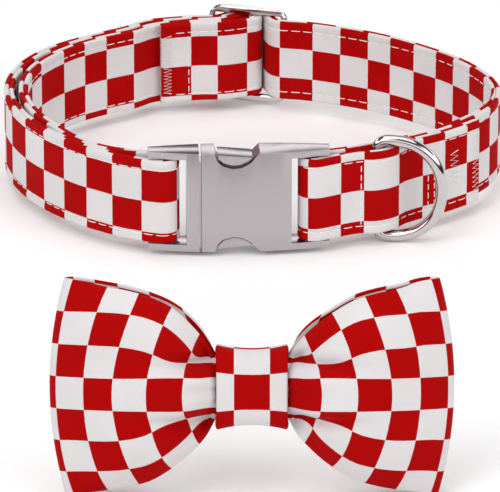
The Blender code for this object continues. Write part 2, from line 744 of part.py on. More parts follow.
def wing_stations():
    """The columns of one wing's cloth from the middle of the front round the outer fold to the back."""
    front = [(out, True) for out in BOW_FRONT_STATIONS]
    return front + [(1.0, None)] + [(out, False) for out in BOW_BACK_STATIONS]


def wing_column(side, rows, out, front):
    """The points of one column, from the lower edge to the upper edge."""
    steps = np.linspace(-1, 1, BOW_ROWS)
    if front is not None:
        return [wing_point(side, rows, out, front, row) for row in steps]
    last = rows[-1][0]
    folded = []
    for row in steps:
        near, far = (wing_point(side, rows, last, face, row) for face in (True, False))
        middle = (near + far) / 2
        middle.x = side * BOW_HALF_WIDTH * (1 - WING_CORNER_PULL * row * row)
        folded.append(middle)
    return folded


def sheet_mesh(name, columns, closed):
    """A sheet of quads through columns of points, closed round when asked."""
    work = bmesh.new()
    grid = [[work.verts.new(point) for point in column] for column in columns]
    pairs = list(zip(grid, grid[1:]))
    if closed:
        pairs.append((grid[-1], grid[0]))
    for left, right in pairs:
        for low in range(len(left) - 1):
            work.faces.new((left[low], right[low], right[low + 1], left[low + 1]))
    mesh = bpy.data.meshes.new(name)
    work.to_mesh(mesh)
    work.free()
    return mesh


def thicken(item, thickness, offset):
    """Give a sheet its cloth thickness. Offset 0 keeps the sheet in the middle."""
    solid = item.modifiers.new("cloth", "SOLIDIFY")
    solid.thickness = thickness
    solid.offset = offset
    solid.use_even_offset = True
    solid.thickness_clamp = 1.0


def make_wings(collection, frame, finish):
    """The folded band that forms both wings."""
    right = [wing_column(1, BOW_RIGHT_WING, out, front) for out, front in wing_stations()]
    left = [wing_column(-1, BOW_LEFT_WING, out, front) for out, front in wing_stations()]
    back_middle = wing_column(1, BOW_RIGHT_WING, 0.0, False)
    columns = right + [back_middle] + list(reversed(left[1:]))
    item = bpy.data.objects.new("bow_wings", sheet_mesh("bow_wings", columns, True))
    thicken(place(item, collection, frame), BOW_PLY, 0.0)
    return shade(item, finish, CLOTH_SHADING)


def ring_band(name, width, depth, heights, squareness, centre_y, thickness, points):
    """A band round the X axis: heights at its edge and at its middle, outer size, cloth inwards."""
    around, across = points
    columns = []
    for angle in np.radians(np.linspace(0, 360, around, endpoint=False)):
        c, s = math.cos(angle), math.sin(angle)
        column = []
        for share in np.linspace(-1, 1, across):
            height = heights[1] + (heights[0] - heights[1]) * share * share
            y = centre_y + depth / 2 * math.copysign(abs(c) ** (2 / squareness), c)
            z = height / 2 * math.copysign(abs(s) ** (2 / squareness), s)
            column.append(Vector((share * width / 2, y, z)))
        columns.append(column)
    item = bpy.data.objects.new(name, sheet_mesh(name, columns, True))
    thicken(item, thickness, -1.0)
    return item


def knot_middle():
    """How far the knot's middle lies in front of the back ply's middle."""
    return -(BOW_PINCH + BOW_RIDGE * KNOT_RIDGE_SHARE) / 2


def make_knot(collection, frame, finish):
    """The band round the bow's middle."""
    heights = (KNOT_HEIGHT_EDGE, KNOT_HEIGHT_MIDDLE)
    item = ring_band(
        "bow_knot", KNOT_WIDTH, KNOT_DEPTH, heights, KNOT_SQUARENESS, knot_middle(), KNOT_CLOTH, KNOT_POINTS
    )
    return shade(place(item, collection, frame), finish, CLOTH_SHADING)


def make_loop(collection, frame, finish):
    """The elastic band behind the knot."""
    centre = knot_middle() + KNOT_DEPTH / 2 + CLEARANCE + LOOP_DEPTH / 2
    heights = (LOOP_HEIGHT, LOOP_HEIGHT)
    item = ring_band(
        "bow_loop", LOOP_WIDTH, LOOP_DEPTH, heights, LOOP_SQUARENESS, centre, LOOP_THICKNESS, LOOP_POINTS
    )
    return shade(place(item, collection, frame), finish, CLOTH_SHADING)


def world_box(items):
    """The lowest and highest corners of the evaluated objects."""
    graph = bpy.context.evaluated_depsgraph_get()
    corners = []
    for item in items:
        shown = item.evaluated_get(graph)
        mesh = shown.to_mesh()
        corners += [shown.matrix_world @ vertex.co for vertex in mesh.vertices]
        shown.to_mesh_clear()
    points = np.array([tuple(corner) for corner in corners])
    return points.min(axis=0), points.max(axis=0)


def main():
    """Build the collar and the bow, then set the whole on the ground."""
    clear_scene()
    parts = new_collection("pet_bow_tie_collar")
    guides = new_collection("cutters")
    checked = material("checked_cotton", (0.62, 0.02, 0.02), 0.8)
    metal = material("bright_metal", (0.78, 0.77, 0.75), 0.22, 1.0)
    elastic = material("elastic", (0.80, 0.78, 0.76), 0.85)

    root = empty("collar_root", parts)
    collar = empty("collar_frame", parts, root)
    buckle = empty("buckle_frame", parts, collar, (*buckle_place(), 0.0), BUCKLE_TURN)
    swing = empty("ring_swing", parts, collar, (*ring_place(), 0.0), RING_REST)
    bow_place = buckle_place() + np.array(BOW_FROM_BUCKLE)
    bow = empty("bow_frame", parts, root, (*bow_place, 0.0), lean=BOW_LEAN)
    bpy.context.view_layer.update()

    strap = make_strap(parts, guides, collar, checked)
    male, female = make_buckle(parts, guides, buckle, metal)
    slide = make_slide(parts, collar, metal)
    ring = make_ring(parts, swing, metal)
    wings = make_wings(parts, bow, checked)
    knot = make_knot(parts, bow, checked)
    loop = make_loop(parts, bow, elastic)
    bpy.context.view_layer.update()

    on_collar = [strap, male, female, slide, ring]
    on_bow = [wings, knot, loop]
    collar.location.z = -world_box(on_collar)[0][2]
    bow.location.z = -world_box(on_bow)[0][2]
    bpy.context.view_layer.update()
    low, high = world_box(on_collar + on_bow)
    root.location = (-(low[0] + high[0]) / 2, -(low[1] + high[1]) / 2, 0.0)
    bpy.context.view_layer.update()


main()
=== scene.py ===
"""Looks of a checked pet collar with a metal buckle, slide and leash ring, and its pleated bow tie."""

import math

import bmesh
import bpy
import numpy as np
from bpy.props import FloatProperty, FloatVectorProperty, PointerProperty
from mathutils import Matrix, Vector


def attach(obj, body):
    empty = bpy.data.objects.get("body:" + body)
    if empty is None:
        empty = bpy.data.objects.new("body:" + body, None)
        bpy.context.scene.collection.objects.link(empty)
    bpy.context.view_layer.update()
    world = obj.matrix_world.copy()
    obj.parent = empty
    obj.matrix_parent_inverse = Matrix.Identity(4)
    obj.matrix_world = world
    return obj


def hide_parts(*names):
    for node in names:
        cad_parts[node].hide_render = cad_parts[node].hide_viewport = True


bl_info = {
    "name": "Checked pet collar and bow tie",
    "version": (1, 0, 0),
    "blender": (4, 5, 0),
    "location": "3D View > Sidebar > Collar",
    "description": "Dresses the collar's strap, buckle, slide, leash ring and bow tie",
    "category": "Object",
}

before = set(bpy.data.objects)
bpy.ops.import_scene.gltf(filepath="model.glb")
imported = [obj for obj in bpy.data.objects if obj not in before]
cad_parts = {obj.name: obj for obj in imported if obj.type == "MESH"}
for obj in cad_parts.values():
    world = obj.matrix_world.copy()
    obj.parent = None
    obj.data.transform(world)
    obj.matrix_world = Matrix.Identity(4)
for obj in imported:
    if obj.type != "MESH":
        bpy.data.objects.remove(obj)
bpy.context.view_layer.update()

MILLIMETRES = 1000          # in a metre
ROUTE_SPACING = 0.0004      # between the points that a route is read at

# Places of the collar's and the bow's own frames in the scene, metres
COLLAR_ORIGIN = np.array((-0.00065, 0.073666, 0.016216))
BOW_ORIGIN = np.array((-0.000145, -0.142831, 0.028427))
BOW_LEAN = 10.0

# The strap's route, as the solid strap follows it
CLEARANCE = 0.0004
STRAP_THICKNESS = 0.0028
LAYER_GAP = 0.00045
NECK_REACH = 0.068
NECK_MIDDLE = (0.002, 0.012)
NECK_STEP = 15.0            # degrees from one value of NECK_SHAPE to the next
NECK_TANGENT = 0.5          # degrees to each side that a direction is read over
NECK_SHAPE = (
    1.016, 0.966, 0.912, 0.867, 0.843, 0.849, 0.858, 0.861, 0.889, 0.922, 0.965, 0.990,
    0.994, 0.980, 0.965, 0.965, 0.925, 0.848, 0.815, 0.818, 0.833, 0.864, 0.929, 1.000,
)
END_BY_SLIDE = ((118.5, 0.0), (112.0, 0.0), (107.0, 0.0))
TURNED_END = ((107.5, 1.0), (112.0, 1.0), (117.5, 1.0), (121.0, 0.80), (126.0, 0.12), (130.0, 0.0))
LEFT_INNER = (138, 236, 8)
LEFT_OUTER = (
    (236.0, 1.45), (230.0, 1.10), (224.0, 1.02), (214.0, 1.05), (204.0, 1.15), (194.0, 1.25), (184.0, 1.30),
    (174.0, 1.30), (164.0, 1.20), (154.0, 1.08), (144.0, 1.02), (134.0, 1.02), (127.0, 1.15), (122.0, 1.78),
    (118.0, 2.02), (112.0, 2.02), (108.0, 2.05),
)
PAST_SLIDE = ((76.0, 0.0), (71.0, 0.0))
RIGHT_INNER = (63, -66, -8)
BEFORE_RING = (-61.5, 1.55)
OVER_RING = ((-58.5, -0.1), (-55.5, 0.0), (-52.7, -0.15))
END_BY_RING = ((-48.0, 1.30), (-43.0, 1.02), (-35.0, 1.0), (-27.0, 1.0), (-22.5, 1.0))
SLIDE_BEARING, SLIDE_OUT, SLIDE_TURN = 92.26, 0.00607, -14.6
SLIDE_LENGTH, SLIDE_DEPTH, SLIDE_BAR = 0.0248, 0.0020, 0.0020
SLIDE_INNER_WRAP, SLIDE_OUTER_WRAP = (-58.0, 140.0), (143.0, 37.0)
END_BAR_SLOPES = (40.0, 38.0, 36.0)
RIGHT_BAR_SLOPE = 31.0
BUCKLE_BEARING, BUCKLE_OUT, BUCKLE_TURN = 264.5, 0.0034, 2.7
BUCKLE_BARS = (-0.02165, 0.0001), (0.02165, 0.0001)
BAR_DIAMETER = 0.0030
MALE_WRAP, FEMALE_WRAP = (68.0, -112.0), (113.0, 288.0)
# The prong half's tongue, which bridges the seam inside the body half, in the buckle's own frame
TONGUE = ((-0.0122, -0.0026, -0.0119), (-0.0096, 0.0019, 0.0119))

# The leash ring's wire, in the frame of its swing
RING_AXIS = np.array((0.03601, 0.034265, 0.016216))
RING_REST = -8.0
RING_WIRE, RING_REACH, RING_LEG, RING_CORNER, RING_SHAPE = 0.0034, 0.0204, 0.0042, 0.0030, 2.15
RING_HALF = 0.0146
RING_CORNER_STEP, RING_BOW_POINTS, RING_LEAST_STEP, RING_ROUNDNESS = 8, 91, RING_WIRE / 16, 8

# Where the checks' columns fall along the strap: millimetres along it, column number
CHECKS_RIGHT_FACE = (
    (0.0, 0.0), (9.4, 1.0), (17.7, 2.0), (26.8, 3.0), (434.5, 48.0), (444.8, 49.0), (454.1, 50.0),
    (463.7, 51.0), (471.6, 52.0), (480.6, 53.0), (489.8, 54.0), (498.0, 55.0), (507.0, 56.0),
    (608.5, 66.0), (617.6, 67.0), (626.7, 68.0), (634.6, 69.0), (645.2, 70.0), (656.1, 71.0),
    (664.0, 72.0), (672.8, 73.0), (682.0, 74.0),
)
CHECKS_LEFT_FACE = (
    (0.0, 0.0), (56.9, 6.0), (66.5, 7.0), (77.6, 8.0), (87.4, 9.0), (95.9, 10.0), (105.3, 11.0),
    (119.3, 12.0), (222.7, 23.0), (232.1, 24.0), (241.5, 25.0), (250.9, 26.0), (260.3, 27.0),
    (270.5, 28.0), (281.5, 29.0), (292.6, 30.0), (536.0, 56.0), (544.5, 57.0), (552.8, 58.0),
    (562.9, 59.0), (682.0, 72.0),
)
# Where the first row ends below the upper edge: millimetres along the strap, millimetres down
ROWS_RIGHT_FACE = ((0.0, 4.6), (400.0, 9.0), (520.0, 9.0), (600.0, 12.2), (682.0, 12.2))
ROWS_LEFT_FACE = ((0.0, 4.6), (130.0, 4.6), (225.0, 3.5), (682.0, 3.5))

# The strap's section: its rolled edge, then the points of its face in millimetres from that edge
ROLL_RADIUS, ROLL_POINTS = 0.0007, 8
FACE_STATIONS = (1.3, 1.9, 2.3, 2.6, 2.9, 3.4, 4.8, 8.0)
FACE_DEPTH = 0.0005         # points that stand further out than this are on a face or its roll
STRAP_STEP = 0.0008
END_CLOSED, END_CLOSES_OVER = 0.35, 0.0011
PUCKER, PUCKER_FROM_EDGE, PUCKER_WIDTH = 0.00006, 0.0012, 0.0010
SWAYS = ((0.00018, 61.0, 0.0), (0.00010, 149.0, 1.3))   # height, radians per metre, start
OTHER_FACE_CLOTH = 0.1      # sets the weave of one face apart from the other's
STRAP_MERGE, SOLID_MERGE = 0.000002, 0.00001

# Thread. An arch is a stitch: share of its length, height over the face
THREAD_RADIUS = 0.00014
STITCH_ROUNDNESS, TACK_ROUNDNESS = 0, 1
STITCH_LINE, STITCH_DIP, STITCH_DIP_WIDTH = 0.0026, 0.00022, 0.00045
STITCH_SHARE, STITCH_START, STITCH_STOP = 0.76, 0.0045, 0.006
STITCH_ARCH = ((0.0, -0.00030), (0.18, -0.00012), (0.5, -0.00006), (0.82, -0.00012), (1.0, -0.00030))
SEAM_ARCH = ((0.0, -0.0002), (0.2, 0.00008), (0.6, 0.00008), (0.8, -0.0002))
SEAMS_AT, SEAM_STITCHES = (0.0086, 0.6335, 0.6580, 0.6602), 7
ZIGZAG_LIFT, TACK_INSET = 0.00010, 0.0032
FULL_ZIGZAGS = ((0.0006, 0.0030, 34), (0.6752, 0.6778, 26))     # start, end, teeth
SHORT_ZIGZAG = (0.6660, 0.6690, -0.004, 0.006, 12)              # start, end, lowest, highest, teeth

# Metal
EDGE_SEGMENTS, EDGE_ANGLE, FLAT_ANGLE, METAL_SHADING = 3, 28, 2.0, 32

# Finishes. A weave is in waves to a metre, a bump is its strength and its height in metres
COTTON_WEAVE, THREAD_WEAVE = 2100.0, 1600.0
# The second of these is painted shade. It makes the cloth's colour lighter where the weave's threads rise
# and darker where they sink.
WEAVE_HEIGHT, WEAVE_SHADE, CLOUD_TONE, CLOTH_TONE = 0.35, 0.035, 0.16, 0.95
SLUBS, CLOUDS, BLEED_GRAIN, WEAR_GRAIN = (900.0, 4.0), (60.0, 3.0), (700.0, 2.0), (420.0, 5.0)
BLEED, WEAR, NOISE_MIDDLE = 0.012, 0.10, 0.5
COTTON_BUMP, THREAD_BUMP, METAL_BUMP = (0.35, 0.00008), (0.4, 0.0001), (0.06, 0.00005)
COTTON_ROUGHNESS, COTTON_SHEEN, COTTON_SPECULAR = 0.88, 0.01, 0.05
THREAD_COLOUR, THREAD_ROUGHNESS = (0.83, 0.81, 0.79), 0.75
ELASTIC_COLOUR, ELASTIC_ROUGHNESS = (0.80, 0.78, 0.76), 0.8
FLOOR_ROUGHNESS = 0.6

# Bow tie
BOW_HALF_WIDTH, BOW_HEIGHT, BOW_PLY, BOW_DEPTH = 0.0528, 0.0575, 0.0012, 0.0130
BOW_BACK_SWELL, BOW_PINCH, BOW_RIDGE, BOW_VALLEY = 0.0030, 0.0020, 0.0040, 0.0034
BOW_RIDGE_HALF, BOW_VALLEY_HALF = 0.0060, 0.0024
WING_CORNER_PULL = 0.08
BOW_COLUMNS = ("out", "front_top", "back_top", "front_low", "back_low", "full", "back", "pleat")
BOW_LEFT_WING = (
    (0.000, 0.220, 0.220, 0.220, 0.220, 0.00, 0.00, 0.60),
    (0.100, 0.230, 0.235, 0.230, 0.235, 0.02, 0.00, 0.65),
    (0.175, 0.250, 0.258, 0.250, 0.258, 0.04, 0.00, 0.80),
    (0.215, 0.375, 0.440, 0.395, 0.440, 0.20, 0.05, 1.00),
    (0.290, 0.555, 0.620, 0.560, 0.600, 0.55, 0.25, 0.85),
    (0.390, 0.735, 0.760, 0.710, 0.735, 0.85, 0.60, 0.55),
    (0.500, 0.840, 0.845, 0.830, 0.840, 1.00, 0.90, 0.25),
    (0.630, 0.905, 0.910, 0.895, 0.905, 0.98, 1.00, 0.05),
    (0.760, 0.945, 0.950, 0.935, 0.940, 0.80, 0.95, 0.00),
    (0.880, 0.985, 0.985, 0.970, 0.970, 0.48, 0.80, 0.00),
    (0.960, 1.000, 1.000, 0.995, 0.995, 0.20, 0.60, 0.00),
)
BOW_RIGHT_WING = (
    (0.000, 0.220, 0.220, 0.220, 0.220, 0.00, 0.00, 0.60),
    (0.100, 0.230, 0.235, 0.230, 0.235, 0.02, 0.00, 0.65),
    (0.175, 0.250, 0.258, 0.250, 0.258, 0.04, 0.00, 0.80),
    (0.215, 0.370, 0.430, 0.390, 0.430, 0.20, 0.05, 1.00),
    (0.290, 0.530, 0.580, 0.540, 0.575, 0.55, 0.25, 0.85),
    (0.390, 0.680, 0.700, 0.695, 0.720, 0.85, 0.60, 0.55),
    (0.500, 0.805, 0.815, 0.815, 0.830, 1.00, 0.90, 0.25),
    (0.630, 0.880, 0.885, 0.885, 0.895, 0.98, 1.00, 0.05),
    (0.760, 0.925, 0.930, 0.930, 0.930, 0.80, 0.95, 0.00),
    (0.880, 0.985, 0.985, 0.965, 0.965, 0.48, 0.80, 0.00),
    (0.960, 1.000, 1.000, 0.995, 0.995, 0.20, 0.60, 0.00),
)
BOW_ROWS, BOW_FRONT_COUNT, BOW_BACK_COUNT = 57, 44, 26
BOW_PLIES_END, BOW_FOLD_FROM = 0.95, 0.96       # shares of the half width
KNOT_WIDTH, KNOT_DEPTH, KNOT_CLOTH, KNOT_SQUARENESS = 0.0185, 0.0142, 0.0018, 2.8
KNOT_HEIGHTS = (0.0224, 0.0198)
KNOT_MIDDLE = -0.0018
# Cloth of a wing from the middle of the bow, in widths of a check: the column that starts there
BOW_COLUMN_STARTS = (
    (0.0, 0.0), (1.144, 1.0), (2.344, 2.0), (3.367, 3.0), (4.356, 4.0), (5.233, 5.0), (6.2, 6.0),
    (13.4, 13.0),
)
BOW_COLUMN_LEAN = 0.0062    # how far the columns lean towards the knot at the upper and lower edges
BOW_LEAN_FADES = 0.33       # share of the wing over which that lean fades towards the outer fold
BOW_LEAN_POWER = 1.8
BOW_BACK_FLATTENS = 0.5
CREASE_HEIGHT, CREASE_WAVES, CREASE_SHIFT, CREASE_AT, CREASE_REACH = 0.00055, 17.0, 0.7, 0.27, 0.16
PLEAT_HIDES_AT, PLEAT_HIDES_OVER, PLEAT_FAR = 0.0012, 0.0006, 30.0
BOW_ROW_START = 0.0028      # where a row of checks starts above the middle of the bow
BOW_ROW_RISE = 0.0018       # how much higher it starts where the front ply is fullest
BOW_FIRST_ROW = 1           # number of that row. A check is red where column and row make an odd sum
KNOT_FIRST_COLUMN, KNOT_FIRST_ROW = 0.5, 1.5
BOW_EDGE_CLOSING, BOW_EDGE_POWER = 0.72, 4.0
BOW_RIDGE_SQUARENESS = 14
BOW_VALLEY_MIDDLE = 0.55    # in valley half widths past the ridge
BOW_VALLEY_STARTS, BOW_VALLEY_GROWS = 0.175, 0.06
KNOT_GATHER, KNOT_GATHER_WAVES, KNOT_POINTS = 0.012, 9.0, (96, 33)
LOOP_WIDTH, LOOP_HEIGHT, LOOP_DEPTH, LOOP_THICKNESS, LOOP_SQUARENESS = 0.010, 0.0146, 0.0080, 0.0010, 3.2
LOOP_POINTS = (64, 17)

# Camera
VIEW_ELEVATION, VIEW_DISTANCE, VIEW_EXTRA_TILT, VIEW_LENS = 21.0, 1.7, 0.317, 429.5
VIEW_TARGET = Vector((-0.00065, 0.013669, 0.016216))
VIEW_SENSOR, VIEW_FAR = 36.0, 20.0

# Stage
FLOOR_SIZE, FLOOR_HEIGHT = 12.0, -0.0002
SKY_STRENGTH = 1.9
SKY_STOPS = ((0.0, 0.10), (0.03, 0.02), (0.20, 0.02), (0.26, 1.0), (0.44, 0.95), (0.54, 0.05))
TOP_SHARE = 0.9             # power of the light overhead, as a share of the key light's
KEY_PLACE, KEY_SIZE = (-0.9, -1.1, 1.5), 1.2
FILL_PLACE, FILL_SIZE = (1.2, -0.8, 0.9), 1.0
TOP_PLACE, TOP_SIZE = (0.0, 0.0, 1.7), 1.6
LIGHT_AIM = Vector((0.0, 0.0, 0.0))


# Sizes and colours that a user would change


class CollarCloth(bpy.types.PropertyGroup):
    strap_width: FloatProperty(
        name="Strap width", description="Height of the strap as it stands on edge",
        default=0.025, min=0.01, max=0.05, unit="LENGTH")
    row_height: FloatProperty(
        name="Row height", description="Height of one check on the strap",
        default=0.00945, min=0.002, max=0.03, unit="LENGTH")
    bow_check: FloatVectorProperty(
        name="Bow check", description="Width and height of one check on the bow tie",
        default=(0.0090, 0.0085), size=2, min=0.002, max=0.03, unit="LENGTH")
    knot_check: FloatProperty(
        name="Knot check", description="Width and height of one check on the knot",
        default=0.0093, min=0.002, max=0.03, unit="LENGTH")
    red: FloatVectorProperty(
        name="Red", description="Colour of the printed checks",
        default=(0.40, 0.001, 0.001), size=3, min=0.0, max=1.0, subtype="COLOR")
    white: FloatVectorProperty(
        name="White", description="Colour of the plain cotton",
        default=(0.71, 0.68, 0.685), size=3, min=0.0, max=1.0, subtype="COLOR")
    stitch_pitch: FloatProperty(
        name="Stitch pitch", description="Distance from one stitch to the next",
        default=0.0038, min=0.001, max=0.01, unit="LENGTH")


class CollarMetal(bpy.types.PropertyGroup):
    tint: FloatVectorProperty(
        name="Nickel", description="Colour of the plated ring and slide",
        default=(0.58, 0.55, 0.55), size=3, min=0.0, max=1.0, subtype="COLOR")
    satin_tint: FloatVectorProperty(
        name="Satin nickel", description="Colour of the buckle",
        default=(0.47, 0.43, 0.447), size=3, min=0.0, max=1.0, subtype="COLOR")
    satin: FloatProperty(
        name="Satin roughness", description="Roughness of the buckle",
        default=0.24, min=0.0, max=1.0, subtype="FACTOR")
    polish: FloatProperty(
        name="Polished roughness", description="Roughness of the ring and the slide",
        default=0.09, min=0.0, max=1.0, subtype="FACTOR")
    edge_round: FloatProperty(
        name="Edge rounding", description="Width of the softened edges",
        default=0.00042, min=0.00005, max=0.001, unit="LENGTH")


class CollarStage(bpy.types.PropertyGroup):
    floor: FloatVectorProperty(
        name="Floor", description="Colour of the floor",
        default=(0.98, 0.98, 0.98), size=3, min=0.0, max=1.0, subtype="COLOR")
    key_power: FloatProperty(
        name="Key light", description="Power of the large light over the left shoulder",
        default=15.0, min=0.0, max=500.0, unit="POWER")
    fill_power: FloatProperty(
        name="Fill light", description="Power of the light from the right",
        default=6.0, min=0.0, max=500.0, unit="POWER")


# Curves in plan


def circular_spline(values, position):
    count = len(values)
    slot = math.floor(position)
    share = position - slot
    before, start, end, after = (values[(slot + step) % count] for step in (-1, 0, 1, 2))
    return start + 0.5 * share * (
        end - before + share * (2 * before - 5 * start + 4 * end - after
                                + share * (3 * (start - end) + after - before))
    )


def neck_face(bearing):
    reach = NECK_REACH * circular_spline(NECK_SHAPE, bearing / NECK_STEP)
    angle = math.radians(bearing)
    return np.array(NECK_MIDDLE) + reach * np.array((math.cos(angle), math.sin(angle)))


def neck_point(bearing, outward):
    along = neck_face(bearing + NECK_TANGENT) - neck_face(bearing - NECK_TANGENT)
    along /= np.linalg.norm(along)
    return neck_face(bearing) + outward * np.array((along[1], -along[0]))


def neck_run(rows):
    pitch = STRAP_THICKNESS + LAYER_GAP
    return [neck_point(bearing, STRAP_THICKNESS / 2 + layer * pitch) for bearing, layer in rows]


def framed(place_at, turn, point):
    angle = math.radians(turn)
    x, y = point
    return np.array((
        place_at[0] + x * math.cos(angle) - y * math.sin(angle),
        place_at[1] + x * math.sin(angle) + y * math.cos(angle),
    ))


def arc(centre, radius, start, end, step=22.0):
    count = max(2, math.ceil(abs(end - start) / step) + 1)
    angles = np.radians(np.linspace(start, end, count))
    return [np.array(centre) + radius * np.array((math.cos(a), math.sin(a))) for a in angles]


def smooth_path(points):
    """A dense centripetal curve through the points."""
    points = [np.array(p) for p in points]
    ends = [2 * points[0] - points[1], *points, 2 * points[-1] - points[-2]]
    path = []
    for first, start, end, last in zip(ends, ends[1:], ends[2:], ends[3:]):
        knots = [0.0]
        for here, there in ((first, start), (start, end), (end, last)):
            knots.append(knots[-1] + math.sqrt(np.linalg.norm(there - here)))
        count = max(2, int(np.linalg.norm(end - start) / ROUTE_SPACING))
        for t in np.linspace(knots[1], knots[2], count, endpoint=False):
            a1 = (first * (knots[1] - t) + start * t) / knots[1]
            a2 = (start * (knots[2] - t) + end * (t - knots[1])) / (knots[2] - knots[1])
            a3 = (end * (knots[3] - t) + last * (t - knots[2])) / (knots[3] - knots[2])
            b1 = (a1 * (knots[2] - t) + a2 * t) / knots[2]
            b2 = (a2 * (knots[3] - t) + a3 * (t - knots[1])) / (knots[3] - knots[1])
            path.append((b1 * (knots[2] - t) + b2 * (t - knots[1])) / (knots[2] - knots[1]))
    path.append(points[-1])
    return np.array(path)


def strap_route():
    """The middle line of the strap in plan, from its end by the slide to its end by the ring."""
    pitch = STRAP_THICKNESS + LAYER_GAP
    wrap = SLIDE_BAR / 2 + CLEARANCE + STRAP_THICKNESS / 2
    bar_wrap = BAR_DIAMETER / 2 + CLEARANCE + STRAP_THICKNESS / 2
    past_end_bar = STRAP_THICKNESS / 2 + CLEARANCE
    corner_u = SLIDE_LENGTH / 2 - SLIDE_BAR
    corner_w = -SLIDE_DEPTH / 2
    slide_at = neck_point(SLIDE_BEARING, SLIDE_OUT)
    buckle_at = neck_point(BUCKLE_BEARING, BUCKLE_OUT)

    def slide_arc(radius, angles):
        return [framed(slide_at, SLIDE_TURN, p) for p in arc((0.0, 0.0), radius, *angles)]

    def below_left_bar(layer):
        reach = past_end_bar + layer * pitch
        angle = math.radians(END_BAR_SLOPES[layer])
        return framed(slide_at, SLIDE_TURN, (
            -corner_u + reach * math.sin(angle), corner_w - reach * math.cos(angle)))

    def below_right_bar():
        angle = math.radians(RIGHT_BAR_SLOPE)
        return framed(slide_at, SLIDE_TURN, (
            corner_u - past_end_bar * math.sin(angle), corner_w - past_end_bar * math.cos(angle)))

    male, female = (framed(buckle_at, BUCKLE_TURN, bar) for bar in BUCKLE_BARS)
    tunnel = (2 * CLEARANCE + RING_WIRE - LAYER_GAP) / pitch + 1.0
    route = neck_run(END_BY_SLIDE) + [below_left_bar(2)] + slide_arc(wrap, SLIDE_INNER_WRAP)
    route += [below_left_bar(1)] + neck_run(TURNED_END)
    route += neck_run([(bearing, 0.0) for bearing in range(*LEFT_INNER)])
    route += arc(male, bar_wrap, *MALE_WRAP) + neck_run(LEFT_OUTER) + [below_left_bar(0)]
    route += slide_arc(wrap + pitch, SLIDE_OUTER_WRAP) + [below_right_bar()]
    route += neck_run(PAST_SLIDE + tuple((bearing, 0.0) for bearing in range(*RIGHT_INNER)))
    route += arc(female, bar_wrap, *FEMALE_WRAP) + neck_run([BEFORE_RING])
    route += neck_run([(bearing, tunnel + step) for bearing, step in OVER_RING]) + neck_run(END_BY_RING)
    return route


class StrapLine:
    """The strap's middle line, read by the distance along it."""

    def __init__(self):
        path = smooth_path(strap_route()) + COLLAR_ORIGIN[:2]
        steps = np.linalg.norm(np.diff(path, axis=0), axis=1)
        gone = np.concatenate([[0.0], np.cumsum(steps)])
        self.length = gone[-1]
        self.along = np.linspace(0.0, self.length, int(self.length / ROUTE_SPACING))
        self.points = np.stack([np.interp(self.along, gone, path[:, i]) for i in (0, 1)], axis=1)
        tangent = np.gradient(self.points, axis=0)
        self.tangent = tangent / np.linalg.norm(tangent, axis=1)[:, None]

    def at(self, s):
        """Point in plan, tangent and right-hand normal at a distance along the strap."""
        point, tangent = (
            np.array([np.interp(s, self.along, values[:, i]) for i in (0, 1)])
            for values in (self.points, self.tangent)
        )
        tangent = tangent / np.linalg.norm(tangent)
        return point, tangent, np.array((tangent[1], -tangent[0]))

    def on_face(self, s, z, side, lift):
        """A point over one face, side 1 to the right of the way along and -1 to the left."""
        point, _, normal = self.at(s)
        flat = point + normal * side * (STRAP_THICKNESS / 2 + lift)
        return Vector((flat[0], flat[1], COLLAR_ORIGIN[2] + z))


# Mesh helpers


def clear_selection():
    if bpy.context.object and bpy.context.object.mode != "OBJECT":
        bpy.ops.object.mode_set(mode="OBJECT")
    bpy.ops.object.select_all(action="DESELECT")


def pick(item):
    clear_selection()
    item.select_set(True)
    bpy.context.view_layer.objects.active = item


def apply_modifiers(item):
    pick(item)
    for change in list(item.modifiers):
        bpy.ops.object.modifier_apply(modifier=change.name)


def new_object(name, mesh):
    item = bpy.data.objects.new(name, mesh)
    bpy.context.scene.collection.objects.link(item)
    return item


def dress(item, finish, body, replaced=(), angle=60):
    """Give a finished piece its material, its shading, its body and the solids that it stands for."""
    item.data.materials.clear()
    item.data.materials.append(finish)
    pick(item)
    bpy.ops.object.shade_smooth_by_angle(angle=math.radians(angle))
    clear_selection()
    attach(item, body)
    if replaced:
        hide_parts(*replaced)
    return item


def grid_mesh(name, columns, cloth_uv, check_uv, closed_columns=False, closed_rows=False):
    """A sheet of quads through columns of points. The two UV maps give a pair of values at each corner."""
    columns_count, rows_count = len(columns), len(columns[0])
    mesh = bpy.data.meshes.new(name)
    vertices = [tuple(p) for column in columns for p in column]
    faces, corners = [], []
    for i in range(columns_count if closed_columns else columns_count - 1):
        for j in range(rows_count if closed_rows else rows_count - 1):
            ring = ((i, j), (i + 1, j), (i + 1, j + 1), (i, j + 1))
            faces.append([(a % columns_count) * rows_count + b % rows_count for a, b in ring])
            corners += ring
    mesh.from_pydata(vertices, [], faces)
    for layer, values in (("cloth", cloth_uv), ("checks", check_uv)):
        data = mesh.uv_layers.new(name=layer).data
        flat = np.array([values[a][b] for a, b in corners], dtype=np.float32)
        data.foreach_set("uv", flat.ravel())
    mesh.validate()
    return mesh


def tube(name, runs, radius, roundness):
    """Thread or wire through lists of points, as one mesh."""
    data = bpy.data.curves.new(name, "CURVE")
    data.dimensions = "3D"
    data.bevel_depth = radius
    data.bevel_resolution = roundness
    data.use_fill_caps = True
    for run, closed in runs:
        spline = data.splines.new("POLY")
        spline.points.add(len(run) - 1)
        for knot, point in zip(spline.points, run):
            knot.co = (*point, 1.0)
        spline.use_cyclic_u = closed
    item = new_object(name, data)
    pick(item)
    bpy.ops.object.convert(target="MESH")
    return bpy.context.object


# Materials


